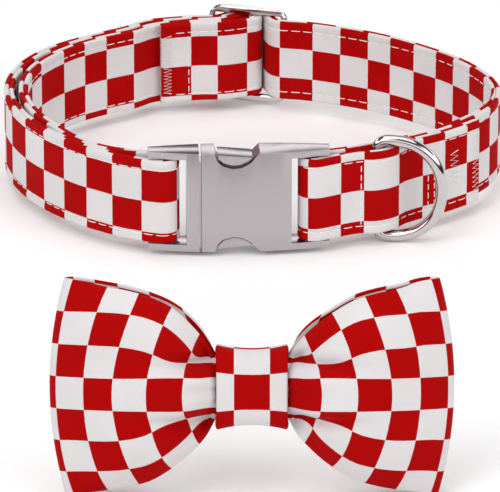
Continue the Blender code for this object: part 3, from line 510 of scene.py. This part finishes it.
def new_group(name, inputs, outputs):
    tree = bpy.data.node_groups.new(name, "ShaderNodeTree")
    for label, kind in inputs:
        tree.interface.new_socket(name=label, in_out="INPUT", socket_type=kind)
    for label, kind in outputs:
        tree.interface.new_socket(name=label, in_out="OUTPUT", socket_type=kind)
    return tree, tree.nodes.new("NodeGroupInput"), tree.nodes.new("NodeGroupOutput")


def maths(tree, operation, first, second=None):
    node = tree.nodes.new("ShaderNodeMath")
    node.operation = operation
    for slot, value in zip(node.inputs, (first, second)):
        if value is None:
            continue
        if isinstance(value, (int, float)):
            slot.default_value = value
        else:
            tree.links.new(value, slot)
    return node.outputs[0]


def noise(tree, position, grain):
    """A cloudy value over the cloth or metal. grain is its scale and its detail."""
    node = tree.nodes.new("ShaderNodeTexNoise")
    node.inputs["Scale"].default_value, node.inputs["Detail"].default_value = grain
    tree.links.new(position, node.inputs["Vector"])
    return node.outputs["Fac"]


def spread(tree, value, amount):
    """A noise moved to lie about nought, and scaled."""
    return maths(tree, "MULTIPLY", maths(tree, "SUBTRACT", value, NOISE_MIDDLE), amount)


def weave_group():
    """Over and under of plain woven threads, with painted shade: the tone is lighter where the threads rise
    and darker where they sink. Position is in metres of cloth.
    """
    tree, start, end = new_group(
        "plain_weave", [("Position", "NodeSocketVector"), ("Threads", "NodeSocketFloat")],
        [("Height", "NodeSocketFloat"), ("Tone", "NodeSocketFloat")])
    split = tree.nodes.new("ShaderNodeSeparateXYZ")
    tree.links.new(start.outputs["Position"], split.inputs[0])
    waves = []
    for axis in ("X", "Y"):
        turned = maths(tree, "MULTIPLY", split.outputs[axis], start.outputs["Threads"])
        waves.append(maths(tree, "SINE", maths(tree, "MULTIPLY", turned, 2 * math.pi)))
    woven = maths(tree, "MULTIPLY", waves[0], waves[1])
    slubs, clouds = (noise(tree, start.outputs["Position"], grain) for grain in (SLUBS, CLOUDS))
    height = maths(tree, "ADD", maths(tree, "MULTIPLY", woven, WEAVE_HEIGHT), slubs)
    tree.links.new(height, end.inputs["Height"])
    # Painted shade of the weave: the tone follows the threads' height, lighter where they rise and darker
    # where they sink. The clouds added to it are random tone.
    weave_shade = maths(tree, "MULTIPLY", woven, WEAVE_SHADE)
    tone = maths(tree, "ADD", weave_shade, spread(tree, clouds, CLOUD_TONE))
    tree.links.new(maths(tree, "ADD", tone, CLOTH_TONE), end.inputs["Tone"])
    return tree


def check_group():
    """1 on the red checks and 0 on the white ones, from columns and rows, with barely bled edges."""
    tree, start, end = new_group(
        "printed_checks", [("Position", "NodeSocketVector"), ("Cloth", "NodeSocketVector")],
        [("Mask", "NodeSocketFloat")])
    split = tree.nodes.new("ShaderNodeSeparateXYZ")
    tree.links.new(start.outputs["Position"], split.inputs[0])
    shift = spread(tree, noise(tree, start.outputs["Cloth"], BLEED_GRAIN), BLEED)
    cells = [maths(tree, "FLOOR", maths(tree, "ADD", split.outputs[axis], shift)) for axis in ("X", "Y")]
    total = maths(tree, "ADD", cells[0], cells[1])
    tree.links.new(maths(tree, "FLOORED_MODULO", total, 2.0), end.inputs["Mask"])
    return tree


def wear_group():
    """Fine uneven polish of plated metal."""
    tree, start, end = new_group(
        "handled_metal", [("Position", "NodeSocketVector"), ("Base", "NodeSocketFloat")],
        [("Roughness", "NodeSocketFloat"), ("Height", "NodeSocketFloat")])
    grain = noise(tree, start.outputs["Position"], WEAR_GRAIN)
    worn = maths(tree, "ADD", start.outputs["Base"], spread(tree, grain, WEAR))
    tree.links.new(worn, end.inputs["Roughness"])
    tree.links.new(grain, end.inputs["Height"])
    return tree


def shared_group(name, build):
    return bpy.data.node_groups.get(name) or build()


def group_node(tree, group):
    node = tree.nodes.new("ShaderNodeGroup")
    node.node_tree = group
    return node


def bump(tree, height, shader, strength, distance):
    node = tree.nodes.new("ShaderNodeBump")
    node.inputs["Strength"].default_value = strength
    node.inputs["Distance"].default_value = distance
    tree.links.new(height, node.inputs["Height"])
    tree.links.new(node.outputs["Normal"], shader.inputs["Normal"])


def new_material(name, roughness):
    made = bpy.data.materials.new(name)
    made.use_nodes = True
    shader = made.node_tree.nodes["Principled BSDF"]
    shader.inputs["Roughness"].default_value = roughness
    return made, made.node_tree, shader


def printed_cotton():
    """Red and white checks printed on a plain weave."""
    if "printed_cotton" in bpy.data.materials:
        return bpy.data.materials["printed_cotton"]
    sizes = bpy.context.scene.collar_cloth
    made, tree, shader = new_material("printed_cotton", COTTON_ROUGHNESS)
    maps = {}
    for layer in ("cloth", "checks"):
        maps[layer] = tree.nodes.new("ShaderNodeUVMap")
        maps[layer].uv_map = layer
    checks = group_node(tree, shared_group("printed_checks", check_group))
    tree.links.new(maps["checks"].outputs[0], checks.inputs["Position"])
    tree.links.new(maps["cloth"].outputs[0], checks.inputs["Cloth"])
    weave = group_node(tree, shared_group("plain_weave", weave_group))
    weave.inputs["Threads"].default_value = COTTON_WEAVE
    tree.links.new(maps["cloth"].outputs[0], weave.inputs["Position"])
    colour = tree.nodes.new("ShaderNodeMix")
    colour.data_type = "RGBA"
    colour.inputs["A"].default_value = (*sizes.white, 1.0)
    colour.inputs["B"].default_value = (*sizes.red, 1.0)
    tree.links.new(checks.outputs["Mask"], colour.inputs["Factor"])
    toned = tree.nodes.new("ShaderNodeVectorMath")
    toned.operation = "SCALE"
    tree.links.new(colour.outputs["Result"], toned.inputs[0])
    # The weave's tone scales the checks' colour. It carries the painted shade of the threads as well as
    # random clouds.
    tree.links.new(weave.outputs["Tone"], toned.inputs["Scale"])
    tree.links.new(toned.outputs[0], shader.inputs["Base Color"])
    shader.inputs["Sheen Weight"].default_value = COTTON_SHEEN
    shader.inputs["Specular IOR Level"].default_value = COTTON_SPECULAR
    bump(tree, weave.outputs["Height"], shader, *COTTON_BUMP)
    return made


def thread_cotton(name, colour, roughness):
    """Thread or elastic with a fine weave, by its place on the object."""
    made, tree, shader = new_material(name, roughness)
    shader.inputs["Base Color"].default_value = (*colour, 1.0)
    place = tree.nodes.new("ShaderNodeTexCoord")
    weave = group_node(tree, shared_group("plain_weave", weave_group))
    weave.inputs["Threads"].default_value = THREAD_WEAVE
    tree.links.new(place.outputs["Object"], weave.inputs["Position"])
    bump(tree, weave.outputs["Height"], shader, *THREAD_BUMP)
    return made


def plated_metal(name, tint, roughness):
    """Bright nickel plate."""
    made, tree, shader = new_material(name, roughness)
    shader.inputs["Base Color"].default_value = (*tint, 1.0)
    shader.inputs["Metallic"].default_value = 1.0
    place = tree.nodes.new("ShaderNodeTexCoord")
    wear = group_node(tree, shared_group("handled_metal", wear_group))
    wear.inputs["Base"].default_value = roughness
    tree.links.new(place.outputs["Object"], wear.inputs["Position"])
    tree.links.new(wear.outputs["Roughness"], shader.inputs["Roughness"])
    bump(tree, wear.outputs["Height"], shader, *METAL_BUMP)
    return made


# Strap


def strap_profile(width):
    """One side of the section from the upper groove down to the lower: height, depth, cloth from the top."""
    half = STRAP_THICKNESS / 2
    roll = []
    for angle in np.radians(np.linspace(180, 0, ROLL_POINTS)):
        down, out = math.sin(angle), math.cos(angle)
        roll.append((ROLL_RADIUS * (1 - down), ROLL_RADIUS * (1 + out)))
    upper = list(roll)
    for down in FACE_STATIONS:
        down /= MILLIMETRES
        dip = STITCH_DIP * math.exp(-((down - STITCH_LINE) / STITCH_DIP_WIDTH) ** 2)
        upper.append((down, half - dip))
    lower = [(width - down, depth) for down, depth in reversed(upper)]
    points = np.array(upper + [(width / 2, half)] + lower)
    steps = np.concatenate([[0.0], np.cumsum(np.linalg.norm(np.diff(points, axis=0), axis=1))])
    crest = steps[np.argmin(points[:ROLL_POINTS, 0])]
    return points, steps - crest


def strap_mesh(line, sizes):
    """The strap's cloth as its section carried along its line, both faces in one ring of points."""
    profile, cloth = strap_profile(sizes.strap_width)
    stations = np.linspace(0.0, line.length, int(line.length / STRAP_STEP))
    columns, cloth_uv, check_uv = [], [], []
    side_count = len(profile)
    for s in stations:
        point, _, normal = line.at(s)
        from_end = min(s, line.length - s)
        closing = min(1.0, END_CLOSED + (1 - END_CLOSED) * math.sqrt(from_end / END_CLOSES_OVER))
        pucker = PUCKER * math.sin(2 * math.pi * s / sizes.stitch_pitch)
        sway = sum(height * math.sin(s * turning + start) for height, turning, start in SWAYS)
        column, cloth_row, check_row = [], [], []
        for side, columns_table, rows_table in (
            (1, CHECKS_RIGHT_FACE, ROWS_RIGHT_FACE), (-1, CHECKS_LEFT_FACE, ROWS_LEFT_FACE),
        ):
            number = np.interp(s * MILLIMETRES, *zip(*columns_table))
            first_row = np.interp(s * MILLIMETRES, *zip(*rows_table)) / MILLIMETRES
            order = range(side_count) if side > 0 else range(side_count - 1, -1, -1)
            for k in order:
                down, depth = profile[k]
                from_edge = min(down, sizes.strap_width - down)
                near_edge = math.exp(-((from_edge - PUCKER_FROM_EDGE) / PUCKER_WIDTH) ** 2)
                stand = depth * closing + (pucker * near_edge if depth > FACE_DEPTH else 0.0)
                flat = point + normal * side * stand
                z = COLLAR_ORIGIN[2] + sizes.strap_width / 2 - down + sway
                column.append((flat[0], flat[1], z))
                cloth_row.append((s, cloth[k] + (OTHER_FACE_CLOTH if side < 0 else 0.0)))
                check_row.append((number, (cloth[k] - first_row) / sizes.row_height))
        columns.append(column)
        cloth_uv.append(cloth_row)
        check_uv.append(check_row)
    around = len(columns[0])
    for rows in (cloth_uv, check_uv):
        for row in rows:
            row.append(row[0])
    mesh = grid_mesh("strap_cloth", columns, cloth_uv, check_uv, closed_rows=True)
    work = bmesh.new()
    work.from_mesh(mesh)
    work.verts.ensure_lookup_table()
    bmesh.ops.contextual_create(work, geom=[work.verts[i] for i in range(around)])
    last = (len(columns) - 1) * around
    bmesh.ops.contextual_create(work, geom=[work.verts[last + i] for i in range(around)])
    bmesh.ops.remove_doubles(work, verts=work.verts, dist=STRAP_MERGE)
    bmesh.ops.recalc_face_normals(work, faces=work.faces)
    work.to_mesh(mesh)
    work.free()
    return mesh


def stitch_rows(line, sizes):
    """Short threads along both edges of both faces."""
    runs = []
    length = sizes.stitch_pitch * STITCH_SHARE
    edge = sizes.strap_width / 2 - STITCH_LINE
    for side in (1, -1):
        for z in (edge, -edge):
            for start in np.arange(STITCH_START, line.length - STITCH_STOP, sizes.stitch_pitch):
                run = []
                for share, lift in STITCH_ARCH:
                    run.append(line.on_face(start + share * length, z, side, lift))
                runs.append((run, False))
    return runs


def zigzag(line, side, start, end, low, high, teeth):
    """A bartack: thread running to and fro between two distances along the strap."""
    return [
        line.on_face(start if k % 2 else end, low + (high - low) * k / teeth, side, ZIGZAG_LIFT)
        for k in range(teeth + 1)
    ]


def straight_tack(line, side, at, low, high, count):
    """A row of stitches across the strap."""
    pitch = (high - low) / count
    return [
        ([line.on_face(at, low + pitch * (k + share), side, lift)
          for share, lift in SEAM_ARCH], False)
        for k in range(count)
    ]


class COLLAR_OT_strap(bpy.types.Operator):
    """Make the strap's cloth, its running stitches and its bartacks"""
    bl_idname = "collar.strap"
    bl_label = "Strap"

    def execute(self, context):
        sizes = context.scene.collar_cloth
        line = StrapLine()
        cloth = new_object("strap_cloth", strap_mesh(line, sizes))
        dress(cloth, printed_cotton(), "collar", ("strap",))
        thread = thread_cotton("white_thread", THREAD_COLOUR, THREAD_ROUGHNESS)
        stitches = tube("strap_stitches", stitch_rows(line, sizes), THREAD_RADIUS, STITCH_ROUNDNESS)
        dress(stitches, thread, "collar")
        reach = sizes.strap_width / 2 - TACK_INSET
        tacks = [
            (zigzag(line, 1, start, end, -reach, reach, teeth), False) for start, end, teeth in FULL_ZIGZAGS
        ]
        tacks.append((zigzag(line, 1, *SHORT_ZIGZAG), False))
        for at in SEAMS_AT:
            tacks += straight_tack(line, 1, at, -reach, reach, SEAM_STITCHES)
        bartacks = tube("strap_bartacks", tacks, THREAD_RADIUS, TACK_ROUNDNESS)
        dress(bartacks, thread, "collar")
        return {"FINISHED"}


# Metal


def add_tongue(item):
    """Give the prong half the tongue that shows as the dark of the seam."""
    low, high = (Vector(corner) for corner in TONGUE)
    buckle_at = neck_point(BUCKLE_BEARING, BUCKLE_OUT) + COLLAR_ORIGIN[:2]
    place = Matrix.Translation((*buckle_at, COLLAR_ORIGIN[2])) @ Matrix.Rotation(
        math.radians(BUCKLE_TURN), 4, "Z")
    work = bmesh.new()
    work.from_mesh(item.data)
    made = bmesh.ops.create_cube(work, size=1.0)["verts"]
    bmesh.ops.scale(work, vec=high - low, verts=made)
    bmesh.ops.translate(work, vec=(low + high) / 2, verts=made)
    bmesh.ops.transform(work, matrix=place, verts=made)
    work.to_mesh(item.data)
    work.free()


def softened_copy(node, name, width):
    """A copy of a solid with its flats made whole and its edges rounded."""
    item = new_object(name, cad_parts[node].data.copy())
    work = bmesh.new()
    work.from_mesh(item.data)
    bmesh.ops.remove_doubles(work, verts=work.verts, dist=SOLID_MERGE)
    bmesh.ops.dissolve_limit(work, angle_limit=math.radians(FLAT_ANGLE), verts=work.verts, edges=work.edges)
    work.to_mesh(item.data)
    work.free()
    rounding = item.modifiers.new("edges", "BEVEL")
    rounding.width = width
    rounding.segments = EDGE_SEGMENTS
    rounding.limit_method = "ANGLE"
    rounding.angle_limit = math.radians(EDGE_ANGLE)
    rounding.harden_normals = False
    apply_modifiers(item)
    return item


class COLLAR_OT_buckle(bpy.types.Operator):
    """Make both halves of the fastened buckle"""
    bl_idname = "collar.buckle"
    bl_label = "Buckle"

    def execute(self, context):
        metal = context.scene.collar_metal
        finish = plated_metal("satin_nickel", metal.satin_tint, metal.satin)
        for node, name in (("buckle_male", "buckle_prong_half"), ("buckle_female", "buckle_body_half")):
            item = softened_copy(node, name, metal.edge_round)
            if node == "buckle_male":
                add_tongue(item)
            dress(item, finish, "collar", (node,), METAL_SHADING)
        return {"FINISHED"}


def ring_points():
    """The middle line of the ring's wire, with its straight bar, as it lies at rest."""
    reach = RING_REACH - RING_WIRE / 2 - RING_LEG
    points = arc((RING_CORNER, -RING_HALF + RING_CORNER), RING_CORNER, 180, 270, RING_CORNER_STEP)
    for angle in np.radians(np.linspace(-90, 90, RING_BOW_POINTS)):
        u = RING_LEG + reach * abs(math.cos(angle)) ** (2 / RING_SHAPE)
        z = RING_HALF * math.copysign(abs(math.sin(angle)) ** (2 / RING_SHAPE), angle)
        points.append(np.array((u, z)))
    points += arc((RING_CORNER, RING_HALF - RING_CORNER), RING_CORNER, 90, 180, RING_CORNER_STEP)
    kept = [points[0]]
    for point in points[1:]:
        if np.linalg.norm(point - kept[-1]) > RING_LEAST_STEP:
            kept.append(point)
    turn = math.radians(RING_REST)
    return [
        Vector((RING_AXIS[0] + u * math.cos(turn), RING_AXIS[1] + u * math.sin(turn), RING_AXIS[2] + z))
        for u, z in kept
    ]


class COLLAR_OT_slide_and_ring(bpy.types.Operator):
    """Make the three-bar slide and the swinging leash ring"""
    bl_idname = "collar.slide_and_ring"
    bl_label = "Slide and ring"

    def execute(self, context):
        metal = context.scene.collar_metal
        finish = plated_metal("polished_nickel", metal.tint, metal.polish)
        slide = softened_copy("slide", "strap_slide", metal.edge_round)
        dress(slide, finish, "collar", ("slide",), METAL_SHADING)
        ring = tube("leash_ring", [(ring_points(), True)], RING_WIRE / 2, RING_ROUNDNESS)
        dress(ring, finish, "d_ring", ("d_ring",))
        return {"FINISHED"}


# Bow tie


def wing_value(rows, column, out):
    """A wing table's value, eased between its rows."""
    xs = np.array([row[0] for row in rows])
    ys = np.array([row[BOW_COLUMNS.index(column)] for row in rows])
    if out >= xs[-1]:
        return float(ys[-1])
    slopes = np.gradient(ys, xs)
    i = int(np.searchsorted(xs, out, side="right")) - 1
    span = xs[i + 1] - xs[i]
    t = (out - xs[i]) / span
    h = (2 * t ** 3 - 3 * t ** 2 + 1, t ** 3 - 2 * t ** 2 + t, -2 * t ** 3 + 3 * t ** 2, t ** 3 - t ** 2)
    return float(h[0] * ys[i] + h[1] * span * slopes[i] + h[2] * ys[i + 1] + h[3] * span * slopes[i + 1])


def wing_point(side, rows, out, front, row):
    """One point of a wing's cloth. row runs from -1 at the lower edge to 1 at the upper edge."""
    edge = ("front" if front else "back") + ("_top" if row > 0 else "_low")
    z = BOW_HEIGHT / 2 * wing_value(rows, edge, out) * row
    x = side * BOW_HALF_WIDTH * out * (1 - WING_CORNER_PULL * row * row * out * out)
    if front:
        full = wing_value(rows, "full", out)
        closing = 1 - BOW_EDGE_CLOSING * abs(row) ** BOW_EDGE_POWER
        depth = BOW_PINCH + (BOW_DEPTH - BOW_PINCH) * full * closing
        ridge = 1 / (1 + (abs(z) / BOW_RIDGE_HALF) ** BOW_RIDGE_SQUARENESS)
        past = (abs(z) - BOW_RIDGE_HALF - BOW_VALLEY_HALF * BOW_VALLEY_MIDDLE) / BOW_VALLEY_HALF
        grown = min(1.0, max(0.0, (out - BOW_VALLEY_STARTS) / BOW_VALLEY_GROWS))
        valley = math.exp(-past * past) * grown
        near_knot = max(0.0, 1 - abs(out - CREASE_AT) / CREASE_REACH)
        crease = CREASE_HEIGHT * near_knot * math.cos(row * CREASE_WAVES + side * CREASE_SHIFT)
        y = -depth - wing_value(rows, "pleat", out) * (BOW_RIDGE * ridge - BOW_VALLEY * valley) + crease
        return np.array((x, min(y, -BOW_PINCH), z))
    y = BOW_BACK_SWELL * wing_value(rows, "back", out) * (1 - BOW_BACK_FLATTENS * row * row)
    return np.array((x, y, z))


def in_bow(point):
    """A point of the bow's own frame, in the scene."""
    x, y, z = point
    lean = math.radians(BOW_LEAN)
    turned = np.array((x, y * math.cos(lean) + z * math.sin(lean), z * math.cos(lean) - y * math.sin(lean)))
    return BOW_ORIGIN + turned


def cloth_height(column):
    """Cloth from the middle line to each point. What the pleat hides is skipped at the valley's bottom."""
    middle = len(column) // 2
    heights = np.zeros(len(column))
    for way in (1, -1):
        gone = 0.0
        walk = list(range(middle, len(column) if way > 0 else -1, way))
        for before, here in zip(walk, walk[1:]):
            gone += float(np.linalg.norm(column[here][1:] - column[before][1:]))
            heights[here] = way * gone
        hidden = max(0.0, BOW_HEIGHT / 2 - gone)
        for here in walk:
            past = (abs(column[here][2]) - BOW_RIDGE_HALF - PLEAT_HIDES_AT) / PLEAT_HIDES_OVER
            heights[here] += way * hidden / (1 + math.exp(-max(-PLEAT_FAR, min(PLEAT_FAR, past))))
    return heights


def wing_mesh(sizes):
    """Both wings as one band of cloth, and its length round the middle."""
    rows = np.linspace(-1, 1, BOW_ROWS)
    front_outs = np.linspace(0, BOW_PLIES_END, BOW_FRONT_COUNT)
    back_outs = np.linspace(BOW_PLIES_END, 0.0, BOW_BACK_COUNT)
    one_wing = [*front_outs, 1.0, *back_outs]
    outs = one_wing + one_wing[-2:0:-1]
    columns = []
    for side, table in ((1, BOW_RIGHT_WING), (-1, BOW_LEFT_WING)):
        front = [[wing_point(side, table, out, True, row) for row in rows] for out in front_outs]
        back = [[wing_point(side, table, out, False, row) for row in rows] for out in back_outs]
        fold = []
        for row in rows:
            near, far = (wing_point(side, table, BOW_FOLD_FROM, face, row) for face in (True, False))
            middle = (near + far) / 2
            middle[0] = side * BOW_HALF_WIDTH * (1 - WING_CORNER_PULL * row * row)
            fold.append(middle)
        columns.append(front + [fold] + back)
    right, left = columns
    ring = right + list(reversed(left[1:-1]))
    points = np.array(ring)
    steps = np.linalg.norm(np.roll(points, -1, axis=0) - points, axis=2)
    gone = np.concatenate([np.zeros((1, BOW_ROWS)), np.cumsum(steps, axis=0)])
    across = np.concatenate([gone[:len(right)], gone[len(right):] - gone[-1]])
    heights = [cloth_height(column) for column in ring]
    heights.append(heights[0])
    cloth = [[(across[i][j], heights[i][j]) for j in range(BOW_ROWS)] for i in range(len(ring) + 1)]
    width, height = sizes.bow_check
    starts = [BOW_ROW_START - BOW_ROW_RISE * column[BOW_ROWS // 2][1] / BOW_DEPTH for column in ring]
    starts.append(starts[0])
    leans = [BOW_COLUMN_LEAN * min(1.0, (1 - out) / BOW_LEAN_FADES) * min(1.0, out / BOW_LEAN_FADES)
             for out in [*outs, outs[0]]]
    checks = []
    for i, (start, lean) in enumerate(zip(starts, leans)):
        middle = across[i][BOW_ROWS // 2]
        column = []
        for row, (_, v) in zip(rows, cloth[i]):
            shift = math.copysign(lean * abs(row) ** BOW_LEAN_POWER, middle)
            column.append((bow_column(middle + shift, width), (v - start) / height + BOW_FIRST_ROW))
        checks.append(column)
    shown = [[in_bow(p) for p in column] for column in ring]
    return grid_mesh("bow_wings_cloth", shown, cloth, checks, closed_columns=True), gone[-1][BOW_ROWS // 2]


def bow_column(u, width):
    """Number of the column of checks at a length of cloth from the middle."""
    return math.copysign(np.interp(abs(u) / width, *zip(*BOW_COLUMN_STARTS)), u)


def band_mesh(name, width, depth, heights, squareness, centre_y, around, across, sizes, gathers):
    """A band round the X axis, with its cloth measured round it from the middle of its front."""
    columns = []
    for angle in np.radians(np.linspace(0, 360, around, endpoint=False)):
        c, s = math.cos(angle), math.sin(angle)
        column = []
        for share in np.linspace(-1, 1, across):
            height = heights[1] + (heights[0] - heights[1]) * share * share
            fold = 1 + gathers * math.cos(share * KNOT_GATHER_WAVES) * (1 - share * share)
            y = centre_y + depth / 2 * fold * math.copysign(abs(c) ** (2 / squareness), c)
            z = height / 2 * math.copysign(abs(s) ** (2 / squareness), s)
            column.append(np.array((share * width / 2, y, z)))
        columns.append(column)
    middle = across // 2
    gone = [0.0]
    for before, here in zip(columns, columns[1:] + columns[:1]):
        gone.append(gone[-1] + float(np.linalg.norm(here[middle] - before[middle])))
    cloth = [[(point[0], gone[-1] / 2 - g) for point in columns[0]] for g in gone]
    check = sizes.knot_check
    checks = [[(u / check + KNOT_FIRST_COLUMN, v / check + KNOT_FIRST_ROW) for u, v in row] for row in cloth]
    shown = [[in_bow(p) for p in column] for column in columns]
    return grid_mesh(name, shown, cloth, checks, closed_columns=True), gone[-1]


def give_thickness(item, thickness, offset):
    """Turn a sheet into cloth with soft edges."""
    work = bmesh.new()
    work.from_mesh(item.data)
    bmesh.ops.recalc_face_normals(work, faces=work.faces)
    work.to_mesh(item.data)
    work.free()
    ply = item.modifiers.new("ply", "SOLIDIFY")
    ply.thickness = thickness
    ply.offset = offset
    ply.use_even_offset = True
    rounding = item.modifiers.new("rounding", "SUBSURF")
    rounding.levels = rounding.render_levels = 1
    apply_modifiers(item)


class COLLAR_OT_bow_tie(bpy.types.Operator):
    """Make the bow tie's folded wings, its knot and its elastic loop"""
    bl_idname = "collar.bow_tie"
    bl_label = "Bow tie"

    def execute(self, context):
        sizes = context.scene.collar_cloth
        mesh, length = wing_mesh(sizes)
        wings = new_object("bow_wings_cloth", mesh)
        give_thickness(wings, BOW_PLY, 0.0)
        dress(wings, printed_cotton(), "collar", ("bow_wings",))
        mesh, knot_length = band_mesh(
            "bow_knot_cloth", KNOT_WIDTH, KNOT_DEPTH, KNOT_HEIGHTS, KNOT_SQUARENESS, KNOT_MIDDLE,
            *KNOT_POINTS, sizes, KNOT_GATHER)
        knot = new_object("bow_knot_cloth", mesh)
        give_thickness(knot, KNOT_CLOTH, -1.0)
        dress(knot, printed_cotton(), "collar", ("bow_knot",))
        centre = KNOT_MIDDLE + KNOT_DEPTH / 2 + CLEARANCE + LOOP_DEPTH / 2
        mesh, _ = band_mesh(
            "bow_elastic", LOOP_WIDTH, LOOP_DEPTH, (LOOP_HEIGHT, LOOP_HEIGHT), LOOP_SQUARENESS, centre,
            *LOOP_POINTS, sizes, 0.0)
        loop = new_object("bow_elastic", mesh)
        give_thickness(loop, LOOP_THICKNESS, -1.0)
        finish = thread_cotton("elastic", ELASTIC_COLOUR, ELASTIC_ROUGHNESS)
        dress(loop, finish, "collar", ("bow_loop",))
        return {"FINISHED"}


# Stage


def area_light(name, place, power, size):
    """A soft square light aimed at the floor under the middle of the object."""
    data = bpy.data.lights.new(name, "AREA")
    data.energy = power
    data.shape = "SQUARE"
    data.size = size
    item = bpy.data.objects.new(name, data)
    item.location = place
    item.rotation_euler = (LIGHT_AIM - Vector(place)).to_track_quat("-Z", "Y").to_euler()
    bpy.context.scene.collection.objects.link(item)


class COLLAR_OT_stage(bpy.types.Operator):
    """Make the floor, the lights and the camera"""
    bl_idname = "collar.stage"
    bl_label = "Stage"

    def execute(self, context):
        stage = context.scene.collar_stage
        clear_selection()
        bpy.ops.mesh.primitive_plane_add(size=FLOOR_SIZE, location=(0.0, 0.0, FLOOR_HEIGHT))
        floor = context.object
        floor.name = "floor"
        finish, _, shader = new_material("pale_floor", FLOOR_ROUGHNESS)
        shader.inputs["Base Color"].default_value = (*stage.floor, 1.0)
        floor.data.materials.append(finish)

        world = bpy.data.worlds.new("studio")
        context.scene.world = world
        world.use_nodes = True
        tree = world.node_tree
        sky = tree.nodes["Background"]
        place = tree.nodes.new("ShaderNodeTexCoord")
        split = tree.nodes.new("ShaderNodeSeparateXYZ")
        ramp = tree.nodes.new("ShaderNodeValToRGB")
        tree.links.new(place.outputs["Generated"], split.inputs[0])
        tree.links.new(split.outputs["Z"], ramp.inputs["Fac"])
        tree.links.new(ramp.outputs["Color"], sky.inputs["Color"])
        stops = ramp.color_ramp.elements
        ready = len(stops)
        for k, (where, value) in enumerate(SKY_STOPS):
            stop = stops[k] if k < ready else stops.new(where)
            stop.position = where
            stop.color = (value, value, value, 1.0)
        sky.inputs["Strength"].default_value = SKY_STRENGTH

        area_light("key", KEY_PLACE, stage.key_power, KEY_SIZE)
        area_light("fill", FILL_PLACE, stage.fill_power, FILL_SIZE)
        area_light("top", TOP_PLACE, stage.key_power * TOP_SHARE, TOP_SIZE)

        tilt = math.radians(VIEW_ELEVATION)
        data = bpy.data.cameras.new("camera")
        data.lens = VIEW_LENS
        data.sensor_width = VIEW_SENSOR
        data.clip_end = VIEW_FAR
        camera = bpy.data.objects.new("camera", data)
        camera.location = VIEW_TARGET + VIEW_DISTANCE * Vector((0, -math.cos(tilt), math.sin(tilt)))
        camera.rotation_euler = (math.radians(90 - VIEW_ELEVATION - VIEW_EXTRA_TILT), 0, 0)
        context.scene.collection.objects.link(camera)
        context.scene.camera = camera
        context.scene.view_settings.view_transform = "Standard"
        return {"FINISHED"}


class VIEW3D_PT_collar(bpy.types.Panel):
    """Buttons for the pieces and the stage"""
    bl_label = "Collar"
    bl_idname = "VIEW3D_PT_collar"
    bl_space_type = "VIEW_3D"
    bl_region_type = "UI"
    bl_category = "Collar"

    def draw(self, context):
        for group in ("collar_cloth", "collar_metal", "collar_stage"):
            values = getattr(context.scene, group)
            for name in values.__annotations__:
                self.layout.prop(values, name)
        for operator in OPERATORS:
            self.layout.operator(operator.bl_idname)


GROUPS = (("collar_cloth", CollarCloth), ("collar_metal", CollarMetal), ("collar_stage", CollarStage))
OPERATORS = (COLLAR_OT_strap, COLLAR_OT_buckle, COLLAR_OT_slide_and_ring, COLLAR_OT_bow_tie, COLLAR_OT_stage)


def register():
    for name, group in GROUPS:
        bpy.utils.register_class(group)
        setattr(bpy.types.Scene, name, PointerProperty(type=group))
    for kind in (*OPERATORS, VIEW3D_PT_collar):
        bpy.utils.register_class(kind)


def unregister():
    for kind in (VIEW3D_PT_collar, *reversed(OPERATORS)):
        bpy.utils.unregister_class(kind)
    for name, group in reversed(GROUPS):
        delattr(bpy.types.Scene, name)
        bpy.utils.unregister_class(group)


def main():
    register()
    bpy.ops.collar.strap()
    bpy.ops.collar.buckle()
    bpy.ops.collar.slide_and_ring()
    bpy.ops.collar.bow_tie()
    bpy.ops.collar.stage()


if __name__ == "__main__":
    main()
